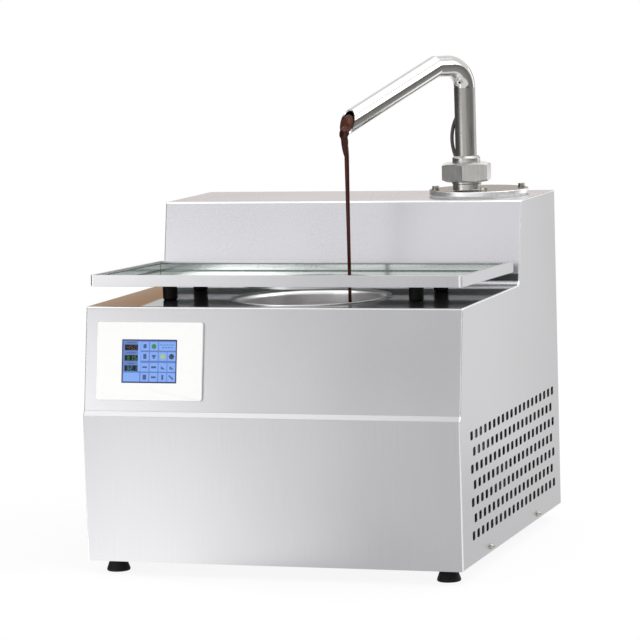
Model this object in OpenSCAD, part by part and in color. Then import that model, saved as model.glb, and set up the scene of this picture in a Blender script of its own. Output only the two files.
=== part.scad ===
// Table-top chocolate melting tank: a heated bowl under a lift-off working tray, with an auger
// pump that lifts the chocolate to a swivelling spout over the bowl.
// The front faces -Y, up is +Z, and the origin is on the floor under the middle of the casing.

/* [Casing] */
// Width of the casing over its side panels
body_w = 475; // [450:1:540]
// Depth of the casing from the lower front panel to the rear edge
body_d = 480; // [410:1:560]
// Thickness of the casing sheet
sheet = 1.5; // [1.2:0.1:2]
// Height of the upright lower front panel
lower_h = 178; // [165:1:185]
// Height of the sloped step between the lower and the upper front panel
joggle_h = 6; // [4:0.5:9]
// Depth of the step between the lower and the upper front panel
joggle_d = 4.5; // [3:0.5:8]
// Distance that the upper front panel leans back over its height
upper_setback = 20.5; // [16:0.5:24]
// Height of the deck above the step
deck_h = 125; // [108:1:160]
// Distance that the deck reaches behind the middle of the casing
deck_reach = 48.5; // [40:0.5:60]
// Distance that the rear housing's front face leans back over its height
wall_setback = 20; // [12:0.5:26]
// Height of the rear housing's top above the deck
top_h = 104.5; // [85:0.5:131]
// Outside radius of the bent edges
edge_r = 3; // [2.5:0.5:5]
// Radius of the corner between the deck and the rear housing
inner_r = 8; // [4:0.5:10]
// Distance from the rear edge to the outer face of the back panel
back_inset = 8; // [6:0.5:12]
// Width of the flange that the back panel is screwed to
flange_w = 16; // [14:0.5:20]
// Height of the base pan's upturned edges
pan_h = 18; // [15:0.5:22]

/* [Side vents] */
// Width of a vent slot
vent_w = 10.6; // [6:0.1:12]
// Height of a vent slot
vent_h = 10.6; // [8:0.1:12]
// Corner radius of a vent slot
vent_r = 2.5; // [1:0.1:2.9]
// Distance between slots along a row
vent_pitch = 20.75; // [18:0.25:21]
// Distance between rows
vent_row_pitch = 20; // [16:0.5:21]
// Slots in the longest rows
vent_count = 20; // [8:1:20]
// Number of rows
vent_rows = 7; // [3:1:7]
// Distance from the lower front panel to the first slot
vent_front = 50; // [35:1:55]
// Height of the lowest row above the casing's lower edge
vent_low = 34.5; // [32:0.5:40]

/* [Screws] */
// Diameter of the casing screws' thread
screw_d = 4; // [3:0.5:5]
// Diameter of the casing screws' domed heads
screw_head_d = 7.5; // [7:0.5:10]
// Height of the casing screws' domed heads
screw_head_h = 4.5; // [2:0.1:5]
// Height of the side screws above the casing's lower edge
screw_low = 8; // [7:0.5:10]
// Distance from the lower front panel to the front side screws
screw_front = 124.5; // [80:0.5:160]
// Distance from the rear edge to the rear side screws
screw_rear = 124.5; // [80:0.5:150]
// Length of the screws under their heads
screw_len = 8; // [6:0.5:10]

/* [Feet] */
// Height of a rubber foot
foot_h = 13.5; // [10:0.5:20]
// Diameter of a foot where it stands
foot_d = 29; // [26:0.5:36]
// Diameter of a foot at its top
foot_top_d = 21; // [18:0.5:24]
// Gap between the foot's top and the casing, taken by its nut
stud_gap = 3.5; // [2.5:0.5:6]
// Diameter of the foot's stud
stud_d = 8; // [6:0.5:10]
// Distance from the casing's side to a front foot's axis
foot_inset_x = 27; // [22:0.5:40]
// Distance from the casing's side to a rear foot's axis
foot_rear_x = 44; // [22:0.5:60]
// Distance from the casing's front or rear to the foot's axis
foot_inset_y = 32; // [24:0.5:45]

/* [Bowl] */
// Distance of the bowl's axis to the right of the middle
bowl_x = 15; // [0:0.5:18]
// Distance from the lower front panel to the bowl's axis
bowl_reach = 134; // [132:0.5:140]
// Inside radius of the bowl
bowl_r = 88; // [80:0.5:90]
// Inside depth of the bowl below the deck
bowl_depth = 150; // [135:1:158]
// Thickness of the bowl's wall
bowl_wall = 1.5; // [1.2:0.1:2]
// Outside radius of the bowl's rim
rim_r = 99.5; // [98.5:0.5:102]
// Radius of the rim's rounded edge
bead_r = 0.8; // [0.75:0.05:1.5]
// Radius between the bowl's wall and its floor
bowl_round = 35; // [25:0.5:36]
// Thickness of the heater mat round the bowl
mat_t = 2.5; // [1.5:0.1:3]
// Thickness of the insulation round the heater mat
wool_t = 5; // [3:0.5:5]
// Height of the heater mat
mat_h = 90; // [60:1:95]

/* [Stirrer] */
// Diameter of the stirrer's and the pump's drive shafts
shaft_d = 16; // [12:0.5:18]
// Radial clearance of a shaft in its bush
run_clear = 0.05; // [0.02:0.01:0.1]
// Outside diameter of the bush in the bowl's floor
bush_d = 32; // [28:0.5:34]
// Height of the stirrer's hub
hub_h = 46; // [30:1:60]
// Diameter of the stirrer's hub
hub_d = 28; // [25:0.5:32]
// Gap between the stirrer's scrapers and the bowl
scraper_gap = 4; // [3:0.5:8]
// Height of the stirrer's scrapers
scraper_h = 52; // [30:1:60]
// Thickness of the stirrer's blades
blade_t = 4; // [3:0.5:6]

/* [Pump] */
// Distance from the casing's right side to the pump's axis
pump_side = 85; // [80:0.5:95]
// Distance from the pump's axis to the middle of the rear housing's top, to the rear
pump_rear = 32.25; // [28:0.25:36]
// Outside diameter of the pump column
column_d = 42.4; // [40:0.1:44]
// Wall of the pump column
column_wall = 2; // [1.5:0.1:2.5]
// Gap between the auger's flight and the column
flight_gap = 0.4; // [0.3:0.05:1]
// Distance between turns of the auger's flight
flight_pitch = 34; // [24:1:44]
// Thickness of the auger's flight along the shaft
flight_t = 3; // [2:0.5:5]
// Outside diameter of the pipe from the bowl to the pump
feed_d = 28; // [24:0.5:30]
// Wall of the pipe from the bowl to the pump
feed_wall = 2; // [1.5:0.1:3]
// Height of the feed pipe's axis above the casing's lower edge
feed_h = 122; // [118:1:126]
// Distance from the bowl's axis to the outlet in its floor
feed_offset = 38; // [36:0.5:39]
// Height of the gearboxes
gear_h = 86; // [70:1:90]
// Width of the gearboxes
gear_w = 72; // [60:1:76]
// Diameter of the motors
motor_d = 62; // [50:1:66]
// Length of the motors
motor_len = 105; // [80:1:110]

/* [Spout] */
// Outside diameter of the spout's pipe
pipe_d = 26.9; // [24:0.1:28]
// Wall of the spout's pipe
pipe_wall = 2; // [1.5:0.1:2.5]
// Radius of the cover plate on the rear housing
plate_r = 63.7; // [60:0.1:64]
// Thickness of the cover plate
plate_t = 6.5; // [4:0.5:10]
// Thickness of the gasket under the cover plate
gasket_t = 2; // [1:0.5:3]
// Distance from the pump's axis to the plate's centre, to the right
plate_dx = 5.5; // [0:0.5:8]
// Distance from the pump's axis to the plate's centre, to the rear
plate_dy = 37; // [34:0.5:40]
// Radius of the bolt circle on the plate
bolt_circle_r = 55.5; // [54:0.5:56]
// Diameter of the plate's bolts
bolt_d = 5; // [4:0.5:6]
// Size of the plate's bolt heads across their flats
bolt_flats = 8; // [7:0.5:9]
// Height of the plate's bolt heads
bolt_head_h = 5; // [3:0.5:6]
// Turn of the bolt circle
bolt_turn = 22; // [15:1:30]
// Height of the neck between the plate and the nut
neck_h = 12; // [8:0.5:18]
// Diameter of the neck
neck_d = 36; // [33:0.5:38]
// Size of the union nut across its flats
nut_flats = 58; // [56:0.5:62]
// Height of the union nut
nut_h = 24; // [20:0.5:30]
// Turn of the union nut at rest
nut_turn = -24; // [-30:0.5:30]
// Diameter of the thread that the union nut turns on
thread_d = 46; // [44:0.5:47]
// Thickness of the lip at the top of the union nut
nut_lip = 3.3; // [2.5:0.1:5]
// Diameter of the collar above the union nut
collar_d = 35.5; // [33:0.5:37]
// Height of the collar above the union nut
collar_h = 8.5; // [6:0.5:14]
// Radial gap between the union nut and what turns inside it
union_gap = 0.35; // [0.3:0.05:0.6]
// Height from the collar's top to the middle of the level pipe
riser_rise = 115; // [90:1:125]
// Bend radius of the elbow's centre line
elbow_r = 28.5; // [24:0.5:36]
// Distance from the riser's axis to the mitred joint
mitre_reach = 49.5; // [46:0.5:60]
// Distance from the riser's axis to the spout's mouth
mouth_reach = 195; // [150:1:210]
// Slope of the spout below the level
spout_slope = 23; // [15:0.5:30]
// Turn of the spout from straight ahead towards the left
spout_turn = 32; // [25:1:38]
// Diameter of the sensor lead beside the riser
lead_d = 5; // [4:0.5:6]
// Height of the sensor lead's arch
lead_span = 49; // [40:1:56]
// Bulge of the sensor lead's arch
lead_bulge = 5.5; // [4:0.5:8]

/* [Tray] */
// Gap between the tray's side and the casing's side
tray_margin = 2.5; // [2:0.5:20]
// Distance from the foot of the rear housing to the tray's front
tray_front = 255.5; // [254:0.5:262]
// Depth of the tray from front to rear
tray_d = 241; // [228:1:242]
// Height of the tray's walls
tray_h = 14; // [10:0.5:20]
// Thickness of the tray's sheet
tray_t = 1.2; // [1:0.1:2]
// Width of the hem folded over the tray's walls
hem_w = 3; // [2.5:0.5:5]
// Height of the hem folded over the tray's walls
hem_h = 3; // [2:0.5:5]
// Radius of the tray's corners
tray_r = 4; // [3.5:0.5:15]
// Radius of the opening in the tray's floor
tray_hole_r = 86; // [70:0.5:90]
// Length of the drip collar round the opening
drip_h = 4; // [2:0.5:6]
// Height of the tray's floor over the deck at its front edge
tray_lift = 23.6; // [18:0.1:30]
// Fall of the tray towards the rear
tray_tilt = 1.45; // [0:0.05:2]
// Diameter of a rubber mount
mount_d = 18; // [14:0.5:22]
// Distance of the mounts from the middle, to each side
mount_x = 158; // [140:1:180]
// Distance from the lower front panel to the front mounts
mount_front = 104; // [80:1:112]
// Distance between the front and the rear mounts
mount_span = 108; // [90:1:130]

/* [Control panel] */
// Width of the control panel's frame
bezel_w = 136; // [128:1:140]
// Height of the control panel's frame along the front panel
bezel_h = 94.5; // [88:0.5:100]
// Distance that the frame stands out from the front panel
bezel_t = 4; // [3:0.5:6]
// Corner radius of the control panel's frame
bezel_r = 3; // [1:0.5:6]
// Distance from the casing's left side to the middle of the control panel
bezel_side = 84.7; // [80:0.5:90]
// Distance from the middle of the upper front panel up to the middle of the control panel
bezel_up = -2.75; // [-8:0.05:4]
// Width of the screen
screen_w = 70.8; // [60:0.1:80]
// Height of the screen
screen_h = 52.6; // [45:0.1:60]
// Depth of the screen below the frame's face
screen_sink = 0.8; // [0.4:0.1:1.5]
// Width of the control panel's case behind the front panel
case_w = 118; // [100:1:122]
// Height of the control panel's case behind the front panel
case_h = 78; // [70:1:82]
// Depth of the control panel's case behind the front panel
case_d = 36; // [25:1:40]

/* [Back] */
// Size of the cooling fan across its square frame
fan_size = 92; // [80:1:100]
// Depth of the cooling fan
fan_t = 25; // [20:1:32]
// Number of the fan's blades
fan_blades = 7; // [5:1:9]
// Distance of the fan's axis to the left of the middle
fan_left = 40; // [20:1:60]
// Height of the fan's axis above the casing's lower edge
fan_h = 150; // [130:1:200]
// Diameter of the air holes in front of the fan
air_hole = 7; // [4:0.5:8]
// Distance between the air holes
air_pitch = 10; // [9:0.5:12]
// Distance from the casing's left side to the power inlet and switch
inlet_side = 70; // [60:1:85]
// Height of the power inlet above the casing's lower edge
inlet_h = 60; // [45:1:80]
// Height of the switch above the power inlet
switch_up = 40; // [36:1:60]
// Angle that the switch's rocker leans either way
rocker_lean = 9; // [6:0.5:12]
// Width of the control box
box_w = 96; // [70:1:100]
// Depth of the control box
box_d = 120; // [80:1:125]
// Height of the control box
box_h = 150; // [100:1:170]

/* [Hidden] */
$fn = 64;
// Clearance between pieces that are screwed or slipped together
fit = 0.1;
// Overlap that lets a cut pass cleanly through a face
cut = 1;

z_base = foot_h + stud_gap;
z_step = z_base + lower_h + joggle_h;
z_deck = z_step + deck_h;
z_top = z_deck + top_h;
y_front = -body_d / 2;
y_rear = body_d / 2;
y_wall = deck_reach;
y_wall_top = y_wall + wall_setback;
y_back = y_rear - back_inset - sheet;
half_w = body_w / 2;
inner_w = body_w - 2 * sheet;
panel_lean = atan2(upper_setback, deck_h);
panel_len = norm([upper_setback, deck_h]);
bend_steps = 6;
seam = 6;

bowl_y = y_front + bowl_reach;
z_bowl = z_deck - bowl_depth;
mat_drop = 20;
mat_top = z_deck - mat_drop;
bush_low = 20;
bush_high = 6;
rim_bend = 7;

pump_x = half_w - pump_side;
pump_y = (y_wall_top + y_rear) / 2 - pump_rear;
plate_x = pump_x + plate_dx;
plate_y = pump_y + plate_dy;
z_plate = z_top + gasket_t;
z_neck = z_plate + plate_t;
z_nut = z_neck + neck_h;
z_collar = z_nut + nut_h;
z_riser = z_collar + collar_h;
z_level = z_riser + riser_rise;
pipe_r = pipe_d / 2;
bore_r = pipe_r - pipe_wall;
shaft_r = shaft_d / 2;
column_r = column_d / 2;
column_bore_r = column_r - column_wall;
foot_plate_t = 12;
z_column = z_base + gear_h + foot_plate_t;
column_len = z_plate - z_column;
auger_end = 20;
z_feed = z_base + feed_h;
feed_r = feed_d / 2;
feed_dir = atan2(pump_y - bowl_y, pump_x - bowl_x);
feed_x = bowl_x + feed_offset * cos(feed_dir);
feed_y = bowl_y + feed_offset * sin(feed_dir);
socket_depth = 18;
gear_foot = sheet + z_base;
motor_z = gear_foot + motor_d / 2 + 2;

seal_t = 2;
liner_t = 5.5;
liner_r = thread_d / 2 - 2;
z_seal = z_collar - nut_lip - 0.5 - liner_t - seal_t;

mouth_z = z_level - (mouth_reach - mitre_reach) * tan(spout_slope);
tray_w = body_w - 2 * tray_margin;
tray_y = y_wall - tray_front;
tray_z = z_deck + tray_lift;

fan_x = -fan_left;
fan_z = z_base + fan_h;
fan_bore_r = fan_size / 2 - 3;
inlet_x = -half_w + inlet_side;
inlet_z = z_base + inlet_h;
inlet_w = 28;
inlet_d = 20;
inlet_lip = 3;
switch_z = inlet_z + switch_up;
rocker_w = 12;
rocker_h = 20;
rocker_gap = 0.8;
rocker_pivot = 6;

// Corner lists of the casing, as distance along Y and height
side_corners = [[y_front, z_base], [y_front, z_base + lower_h], [y_front + joggle_d, z_step],
    [y_front + joggle_d + upper_setback, z_deck], [y_wall, z_deck],
    [y_wall_top, z_top], [y_rear, z_top], [y_rear, z_base]];
side_radii = [0, 0, 0, edge_r, inner_r, edge_r, edge_r, 0];

// Signed turn of a path at b: positive to the left
function turn_of(a, b, c) = (b[0] - a[0]) * (c[1] - b[1]) - (b[1] - a[1]) * (c[0] - b[0]);

// Points of the arc that rounds the corner at b with radius r
function corner(a, b, c, r) =
    r <= 0 ? [b] :
    let (u = (a - b) / norm(a - b), v = (c - b) / norm(c - b), half = acos(u * v) / 2,
        o = b + (u + v) / norm(u + v) * r / sin(half), p = b + u * r / tan(half) - o,
        start = atan2(p[1], p[0]), sweep = sign(turn_of(a, b, c)) * (180 - 2 * half))
    [for (i = [0 : bend_steps]) o + r * [cos(start + sweep * i / bend_steps),
        sin(start + sweep * i / bend_steps)]];

// An open path with its inner corners rounded
function round_path(p, r) = let (n = len(p) - 1)
    concat([p[0]], [for (i = [1 : n - 1]) each corner(p[i - 1], p[i], p[i + 1], r[i])], [p[n]]);

// A closed path with its corners rounded
function round_loop(p, r) = let (n = len(p))
    [for (i = [0 : n - 1]) each corner(p[(i + n - 1) % n], p[i], p[(i + 1) % n], r[i])];

// Normal to the right of the stretch from a to b
function right_of(a, b) = let (u = (b - a) / norm(b - a)) [u[1], -u[0]];

// A path moved to its right by t
function beside(p, t) = let (n = len(p) - 1)
    [for (i = [0 : n]) let (m = right_of(p[max(i - 1, 0)], p[max(i, 1)]),
        k = right_of(p[min(i, n - 1)], p[min(i + 1, n)])) p[i] + t * (m + k) / (1 + m * k)];

// Radii of a path that lies t to the right of one with radii r
function beside_radii(p, r, t) = [for (i = [0 : len(p) - 1]) i == 0 || i == len(p) - 1 ? 0 :
    r[i] == 0 ? 0 : max(r[i] + t * sign(turn_of(p[i - 1], p[i], p[i + 1])), 0.05)];

function reversed(p) = [for (i = [len(p) - 1 : -1 : 0]) p[i]];

// Outline of a bent sheet of thickness t to the right of a path
function bent_sheet(p, r, t) = concat(round_path(p, r),
    reversed(round_path(beside(p, t), beside_radii(p, r, t))));

// Point at distance d from a towards b
function along(a, b, d) = a + (b - a) / norm(b - a) * d;

module block(lo, hi) {
    translate(lo) cube(hi - lo);
}

// Extrudes an outline drawn in Y and Z along X, about the middle
module across(w) {
    rotate([90, 0, 90]) linear_extrude(w, center = true) children();
}

// Rod along X from x0 to x1
module rod_x(x0, x1, y, z, r) {
    translate([x0, y, z]) rotate([0, 90, 0]) cylinder(h = x1 - x0, r = r);
}

// Rod along Y from y0 to y1
module rod_y(x, y0, y1, z, r) {
    translate([x, y0, z]) rotate([-90, 0, 0]) cylinder(h = y1 - y0, r = r);
}

module rod_z(x, y, z0, z1, r) {
    translate([x, y, z0]) cylinder(h = z1 - z0, r = r);
}

module tube_z(x, y, z0, z1, r_out, r_in) {
    difference() {
        rod_z(x, y, z0, z1, r_out);
        rod_z(x, y, z0 - cut, z1 + cut, r_in);
    }
}

// Flat rounded rectangle about the origin
module rounded_rect(w, h, r) {
    square([w - 2 * r, h], center = true);
    square([w, h - 2 * r], center = true);
    for (x = [-1, 1], y = [-1, 1]) translate([x * (w / 2 - r), y * (h / 2 - r)]) circle(r);
}

module hex_bar(flats, h) {
    cylinder(h = h, r = flats / 2 / cos(30), $fn = 6);
}

// Dome-headed screw whose head stands on z = 0 and whose shank points down
module dome_screw(d, head_d, head_h, len) {
    ball_r = (head_d * head_d / 4 + head_h * head_h) / (2 * head_h);
    intersection() {
        translate([0, 0, head_h - ball_r]) sphere(ball_r);
        cylinder(h = head_h + cut, d = head_d + cut);
    }
    translate([0, 0, -len]) cylinder(h = len, d = d);
}

// The leaning upper front panel: x across, y up along the panel, z out of it
module on_panel() {
    translate([0, y_front + joggle_d, z_step]) rotate([90 - panel_lean, 0, 0])
        translate([-half_w + bezel_side, panel_len / 2 + bezel_up, 0]) children();
}

// The tray's own frame: middle of its front edge, falling towards the rear
module on_tray() {
    translate([0, tray_y, tray_z]) rotate([-tray_tilt, 0, 0]) children();
}

// The riser's foot, with x along the spout
module on_riser() {
    translate([pump_x, pump_y, 0]) rotate([0, 0, -90 - spout_turn]) children();
}

// Staggered rows of slots, drawn in Y and Z, as many as the depth has room for
module vent_slots() {
    room = floor((body_d - 2 * vent_front + 2 * vent_w) / vent_pitch) + 1;
    for (row = [0 : vent_rows - 1], i = [0 : min(vent_count, room) - 1 - row % 2])
        translate([y_front + vent_front + vent_pitch * (i + (row % 2) / 2),
            z_base + vent_low + vent_row_pitch * row]) rounded_rect(vent_w, vent_h, vent_r);
}

side_screw_y = [y_front + screw_front, y_rear - screw_rear];
back_screw_z = [z_base + pan_h + 20, (z_base + z_top) / 2, z_top - 30];
back_screw_x = half_w - sheet - flange_w / 2;

module right_side_panel() color("#d2d3d5") {
    difference() {
        union() {
            translate([half_w - sheet / 2, 0, 0]) across(sheet) difference() {
                polygon(round_loop(side_corners, side_radii));
                vent_slots();
            }
            block([half_w - sheet - flange_w, y_back - sheet, z_base + pan_h + 1],
                [half_w - sheet, y_back, z_top - sheet - 1]);
        }
        for (y = side_screw_y)
            rod_x(half_w - sheet - cut, half_w + cut, y, z_base + screw_low, screw_d / 2 + fit);
        for (z = back_screw_z)
            rod_y(back_screw_x, y_back - sheet - cut, y_back + cut, z, screw_d / 2 + fit);
    }
}

module left_side_panel() mirror([1, 0, 0]) right_side_panel();

// The front, the deck and the rear housing share one bent outline, cut at two seams
front_seam = along(side_corners[3], side_corners[2], seam);
wall_seam = along(side_corners[4], side_corners[5], inner_r + seam);

module front_panel() color("#cfd0d1") {
    difference() {
        across(inner_w) polygon(bent_sheet([side_corners[0], side_corners[1], side_corners[2],
            front_seam], [0, 0, 0, 0], sheet));
        on_panel() translate([-case_w / 2 - fit, -case_h / 2 - fit, -sheet - 2 * cut])
            cube([case_w + 2 * fit, case_h + 2 * fit, sheet + 4 * cut]);
    }
}

module deck_plate() color("#c4c6c8") {
    difference() {
        across(inner_w) polygon(bent_sheet([front_seam, side_corners[3], side_corners[4],
            wall_seam], [0, edge_r, inner_r, 0], sheet));
        rod_z(bowl_x, bowl_y, z_deck - sheet - cut, z_deck + cut, bowl_r + rim_bend + fit);
    }
}

module plate_bolt_spots() {
    for (i = [0 : 3]) translate([plate_x, plate_y, 0]) rotate([0, 0, bolt_turn + 90 * i])
        translate([bolt_circle_r, 0, 0]) children();
}

module rear_housing() color("#cdcdd2") {
    difference() {
        across(inner_w) polygon(bent_sheet([wall_seam, side_corners[5], side_corners[6],
            side_corners[6] - [0, flange_w]], [0, edge_r, edge_r, 0], sheet));
        rod_z(pump_x, pump_y, z_top - sheet - cut, z_top + cut, column_r + 1);
        plate_bolt_spots() rod_z(0, 0, z_top - sheet - cut, z_top + cut, bolt_d / 2 + fit);
    }
}

module back_panel() color("#c2c3c5") {
    difference() {
        block([-inner_w / 2, y_back, z_base], [inner_w / 2, y_back + sheet, z_top - sheet]);
        for (i = [-5 : 5], k = [-5 : 5])
            if (norm([i, k]) * air_pitch < fan_bore_r - air_hole)
                rod_y(fan_x + i * air_pitch, y_back - cut, y_back + sheet + cut,
                    fan_z + k * air_pitch, air_hole / 2);
        block([inlet_x - inlet_w / 2 - fit, y_back - cut, inlet_z - inlet_d / 2 - fit],
            [inlet_x + inlet_w / 2 + fit, y_back + sheet + cut, inlet_z + inlet_d / 2 + fit]);
        block([inlet_x - rocker_w / 2 - rocker_gap - 1.5 - fit, y_back - cut,
            switch_z - rocker_h / 2 - rocker_gap - 1.5 - fit],
            [inlet_x + rocker_w / 2 + rocker_gap + 1.5 + fit, y_back + sheet + cut,
            switch_z + rocker_h / 2 + rocker_gap + 1.5 + fit]);
        for (x = [-back_screw_x, back_screw_x], z = back_screw_z)
            rod_y(x, y_back - cut, y_back + sheet + cut, z, screw_d / 2 + fit);
    }
}

// Axis of a foot, with sx and sy giving its corner: the rear feet stand closer together
function foot_x(sx, sy) = sx * (half_w - (sy < 0 ? foot_inset_x : foot_rear_x));
function foot_y(sy) = sy * (body_d / 2 - foot_inset_y);

module base_pan() color("#b9babc") {
    difference() {
        block([-inner_w / 2, y_front + sheet, z_base], [inner_w / 2, y_back, z_base + pan_h]);
        block([-inner_w / 2 + sheet, y_front + sheet - cut, z_base + sheet],
            [inner_w / 2 - sheet, y_back + cut, z_base + pan_h + cut]);
        for (x = [-1, 1], y = [-1, 1])
            rod_z(foot_x(x, y), foot_y(y), z_base - cut, z_base + sheet + cut,
                stud_d / 2 + run_clear);
        for (x = [-half_w, half_w - 2 * sheet - cut], y = side_screw_y)
            rod_x(x - cut, x + 2 * sheet + 2 * cut, y, z_base + screw_low, screw_d / 2 + fit);
    }
}

module casing_screws() color("#a9abad") {
    for (y = side_screw_y) {
        translate([half_w, y, z_base + screw_low]) rotate([0, 90, 0])
            dome_screw(screw_d, screw_head_d, screw_head_h, screw_len);
        translate([-half_w, y, z_base + screw_low]) rotate([0, -90, 0])
            dome_screw(screw_d, screw_head_d, screw_head_h, screw_len);
    }
}

module back_screws() color("#a9abad") {
    for (x = [-back_screw_x, back_screw_x], z = back_screw_z)
        translate([x, y_back + sheet, z]) rotate([-90, 0, 0])
            dome_screw(screw_d, screw_head_d, screw_head_h, screw_len);
}

// One foot: a rubber cone moulded round a stud
stud_sunk = 8;

module foot_pad(sx, sy) color("#1d1d1f") {
    edge = 1.5;
    translate([foot_x(sx, sy), foot_y(sy), 0])
        difference() {
            rotate_extrude() polygon([[0, 0], [foot_d / 2 - edge, 0], [foot_d / 2, edge],
                [foot_top_d / 2, foot_h], [0, foot_h]]);
            translate([0, 0, foot_h - stud_sunk]) cylinder(h = stud_sunk + cut, d = stud_d);
        }
}

module foot_stud(sx, sy) color("#9fa1a3") {
    nut_flats_m = stud_d * 1.6;
    translate([foot_x(sx, sy), foot_y(sy), 0]) {
        rod_z(0, 0, foot_h - stud_sunk, z_base + pan_h, stud_d / 2);
        translate([0, 0, foot_h]) hex_bar(nut_flats_m, stud_gap - 0.3);
    }
}

module bowl() color("#d9dbdd") {
    inside = [[rim_r - bead_r, bowl_wall], [bowl_r, bowl_wall], [bowl_r, -bowl_depth],
        [0, -bowl_depth]];
    translate([bowl_x, bowl_y, z_deck]) difference() {
        rotate_extrude() {
            polygon(bent_sheet(inside, [0, rim_bend, bowl_round, 0], -bowl_wall));
            translate([rim_r - bead_r, bead_r]) circle(bead_r);
        }
        translate([0, 0, -bowl_depth - bowl_wall - cut])
            cylinder(h = bowl_wall + 2 * cut, d = bush_d + 2 * fit);
        translate([feed_x - bowl_x, feed_y - bowl_y, -bowl_depth - bowl_wall - cut])
            cylinder(h = bowl_wall + 2 * cut, r = feed_r - feed_wall);
    }
}

module bowl_heater() color("#b5522f")
    tube_z(bowl_x, bowl_y, mat_top - mat_h, mat_top, bowl_r + bowl_wall + mat_t,
        bowl_r + bowl_wall);

module bowl_insulation() color("#e4e0d4")
    tube_z(bowl_x, bowl_y, mat_top - mat_h, mat_top, bowl_r + bowl_wall + mat_t + wool_t,
        bowl_r + bowl_wall + mat_t);

// Probe clipped against the underside of the bowl's floor, on the side away from the outlet
module bowl_sensor() color("#8f9194") {
    translate([bowl_x, bowl_y, z_bowl - bowl_wall]) rotate([0, 0, feed_dir + 180]) {
        translate([feed_offset, 0, -3]) cylinder(h = 3, d = 14);
        translate([feed_offset, 0, -12]) cylinder(h = 9, d = 8);
    }
}

module shaft_bush() color("#c9a25c")
    tube_z(bowl_x, bowl_y, z_bowl - bush_low, z_bowl + bush_high, bush_d / 2,
        shaft_r + run_clear);

z_stirrer = z_bowl + bush_high + 1;

module stirrer_shaft() color("#b4b6b8")
    rod_z(bowl_x, bowl_y, z_base + gear_h - socket_depth, z_stirrer + hub_h - 6, shaft_r);

module stirrer_blade() color("#d5d7d9") {
    reach = bowl_r - scraper_gap;
    arm_h = 16;
    arm_z = z_bowl + bowl_round + scraper_gap;
    difference() {
        union() {
            rod_z(bowl_x, bowl_y, z_stirrer, z_stirrer + hub_h, hub_d / 2);
            intersection() {
                translate([bowl_x, bowl_y, 0]) for (a = [0, 180]) rotate([0, 0, a + 60]) {
                    block([0, -blade_t / 2, arm_z], [reach, blade_t / 2, arm_z + arm_h]);
                    block([reach - 12, -blade_t / 2, arm_z], [reach, blade_t / 2,
                        arm_z + scraper_h]);
                }
                rod_z(bowl_x, bowl_y, z_bowl, z_deck, reach);
            }
        }
        rod_z(bowl_x, bowl_y, z_stirrer - cut, z_stirrer + hub_h - 6, shaft_r);
    }
}

// Worm gearbox on the base pan, with its motor lying along -X
module gearbox(x, y) {
    boss_h = 8;
    difference() {
        union() {
            block([x - gear_w / 2, y - gear_w / 2, gear_foot],
                [x + gear_w / 2, y + gear_w / 2, z_base + gear_h - boss_h]);
            rod_z(x, y, z_base + gear_h - boss_h, z_base + gear_h, shaft_d);
        }
        rod_z(x, y, z_base + gear_h - socket_depth, z_base + gear_h + cut, shaft_r + run_clear);
    }
}

module gear_motor(x, y) {
    end = x - gear_w / 2;
    cap = 14;
    rod_x(end - motor_len, end, y, motor_z, motor_d / 2 - 2);
    rod_x(end - motor_len, end - motor_len + cap, y, motor_z, motor_d / 2);
    rod_x(end - cap, end, y, motor_z, motor_d / 2);
}

module stirrer_gearbox() color("#8d9196") gearbox(bowl_x, bowl_y);

module stirrer_motor() color("#3c3f44") gear_motor(bowl_x, bowl_y);

module pump_gearbox() color("#8d9196") gearbox(pump_x, pump_y);

module pump_motor() color("#3c3f44") gear_motor(pump_x, pump_y);

// Pipe from the outlet in the bowl's floor, down and across to the pump column
module bowl_outlet() color("#c0c2c4") {
    run = norm([pump_x - feed_x, pump_y - feed_y]);
    difference() {
        translate([feed_x, feed_y, z_feed]) rotate([0, 0, feed_dir]) {
            cylinder(h = z_bowl - bowl_wall - z_feed, r = feed_r);
            sphere(feed_r);
            rotate([0, 90, 0]) cylinder(h = run, r = feed_r);
        }
        translate([feed_x, feed_y, z_feed]) rotate([0, 0, feed_dir]) {
            cylinder(h = z_bowl - z_feed, r = feed_r - feed_wall);
            sphere(feed_r - feed_wall);
            rotate([0, 90, 0]) cylinder(h = run, r = feed_r - feed_wall);
        }
        rod_z(pump_x, pump_y, z_feed - feed_d, z_feed + feed_d, column_r);
    }
}

module pump_foot() color("#a6a8ab")
    tube_z(pump_x, pump_y, z_base + gear_h, z_column, column_r + 9, shaft_r + run_clear);

module pump_column() color("#c6c8ca") {
    difference() {
        tube_z(pump_x, pump_y, z_column, z_plate, column_r, column_bore_r);
        translate([pump_x, pump_y, z_feed]) rotate([0, 0, feed_dir + 180]) rotate([0, 90, 0])
            cylinder(h = column_d, r = feed_r - feed_wall);
    }
}

module auger_shaft() color("#b4b6b8")
    rod_z(pump_x, pump_y, z_base + gear_h - socket_depth, z_plate - auger_end, shaft_r);

// The flight's cross-section is a sector, which one twisted extrusion winds up the shaft
module auger_flight() color("#d5d7d9") {
    flight_r = column_bore_r - flight_gap;
    sector = 360 * flight_t / flight_pitch;
    low = z_column + 4;
    high = z_plate - auger_end - 4;
    turns = (high - low) / flight_pitch;
    translate([pump_x, pump_y, low])
        linear_extrude(high - low, twist = -360 * turns, slices = round(turns * 16), $fn = 14)
            polygon(concat([for (i = [0 : 3]) flight_r * [cos(sector * i / 3), sin(sector * i / 3)]],
                [for (i = [2 : -1 : 0]) (shaft_r + 2 * fit) * [cos(sector * i / 2), sin(sector * i / 2)]]));
}

module column_heater() color("#b5522f")
    tube_z(pump_x, pump_y, z_column + column_len / 4, z_column + column_len * 5 / 8,
        column_r + 3, column_r);

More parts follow.
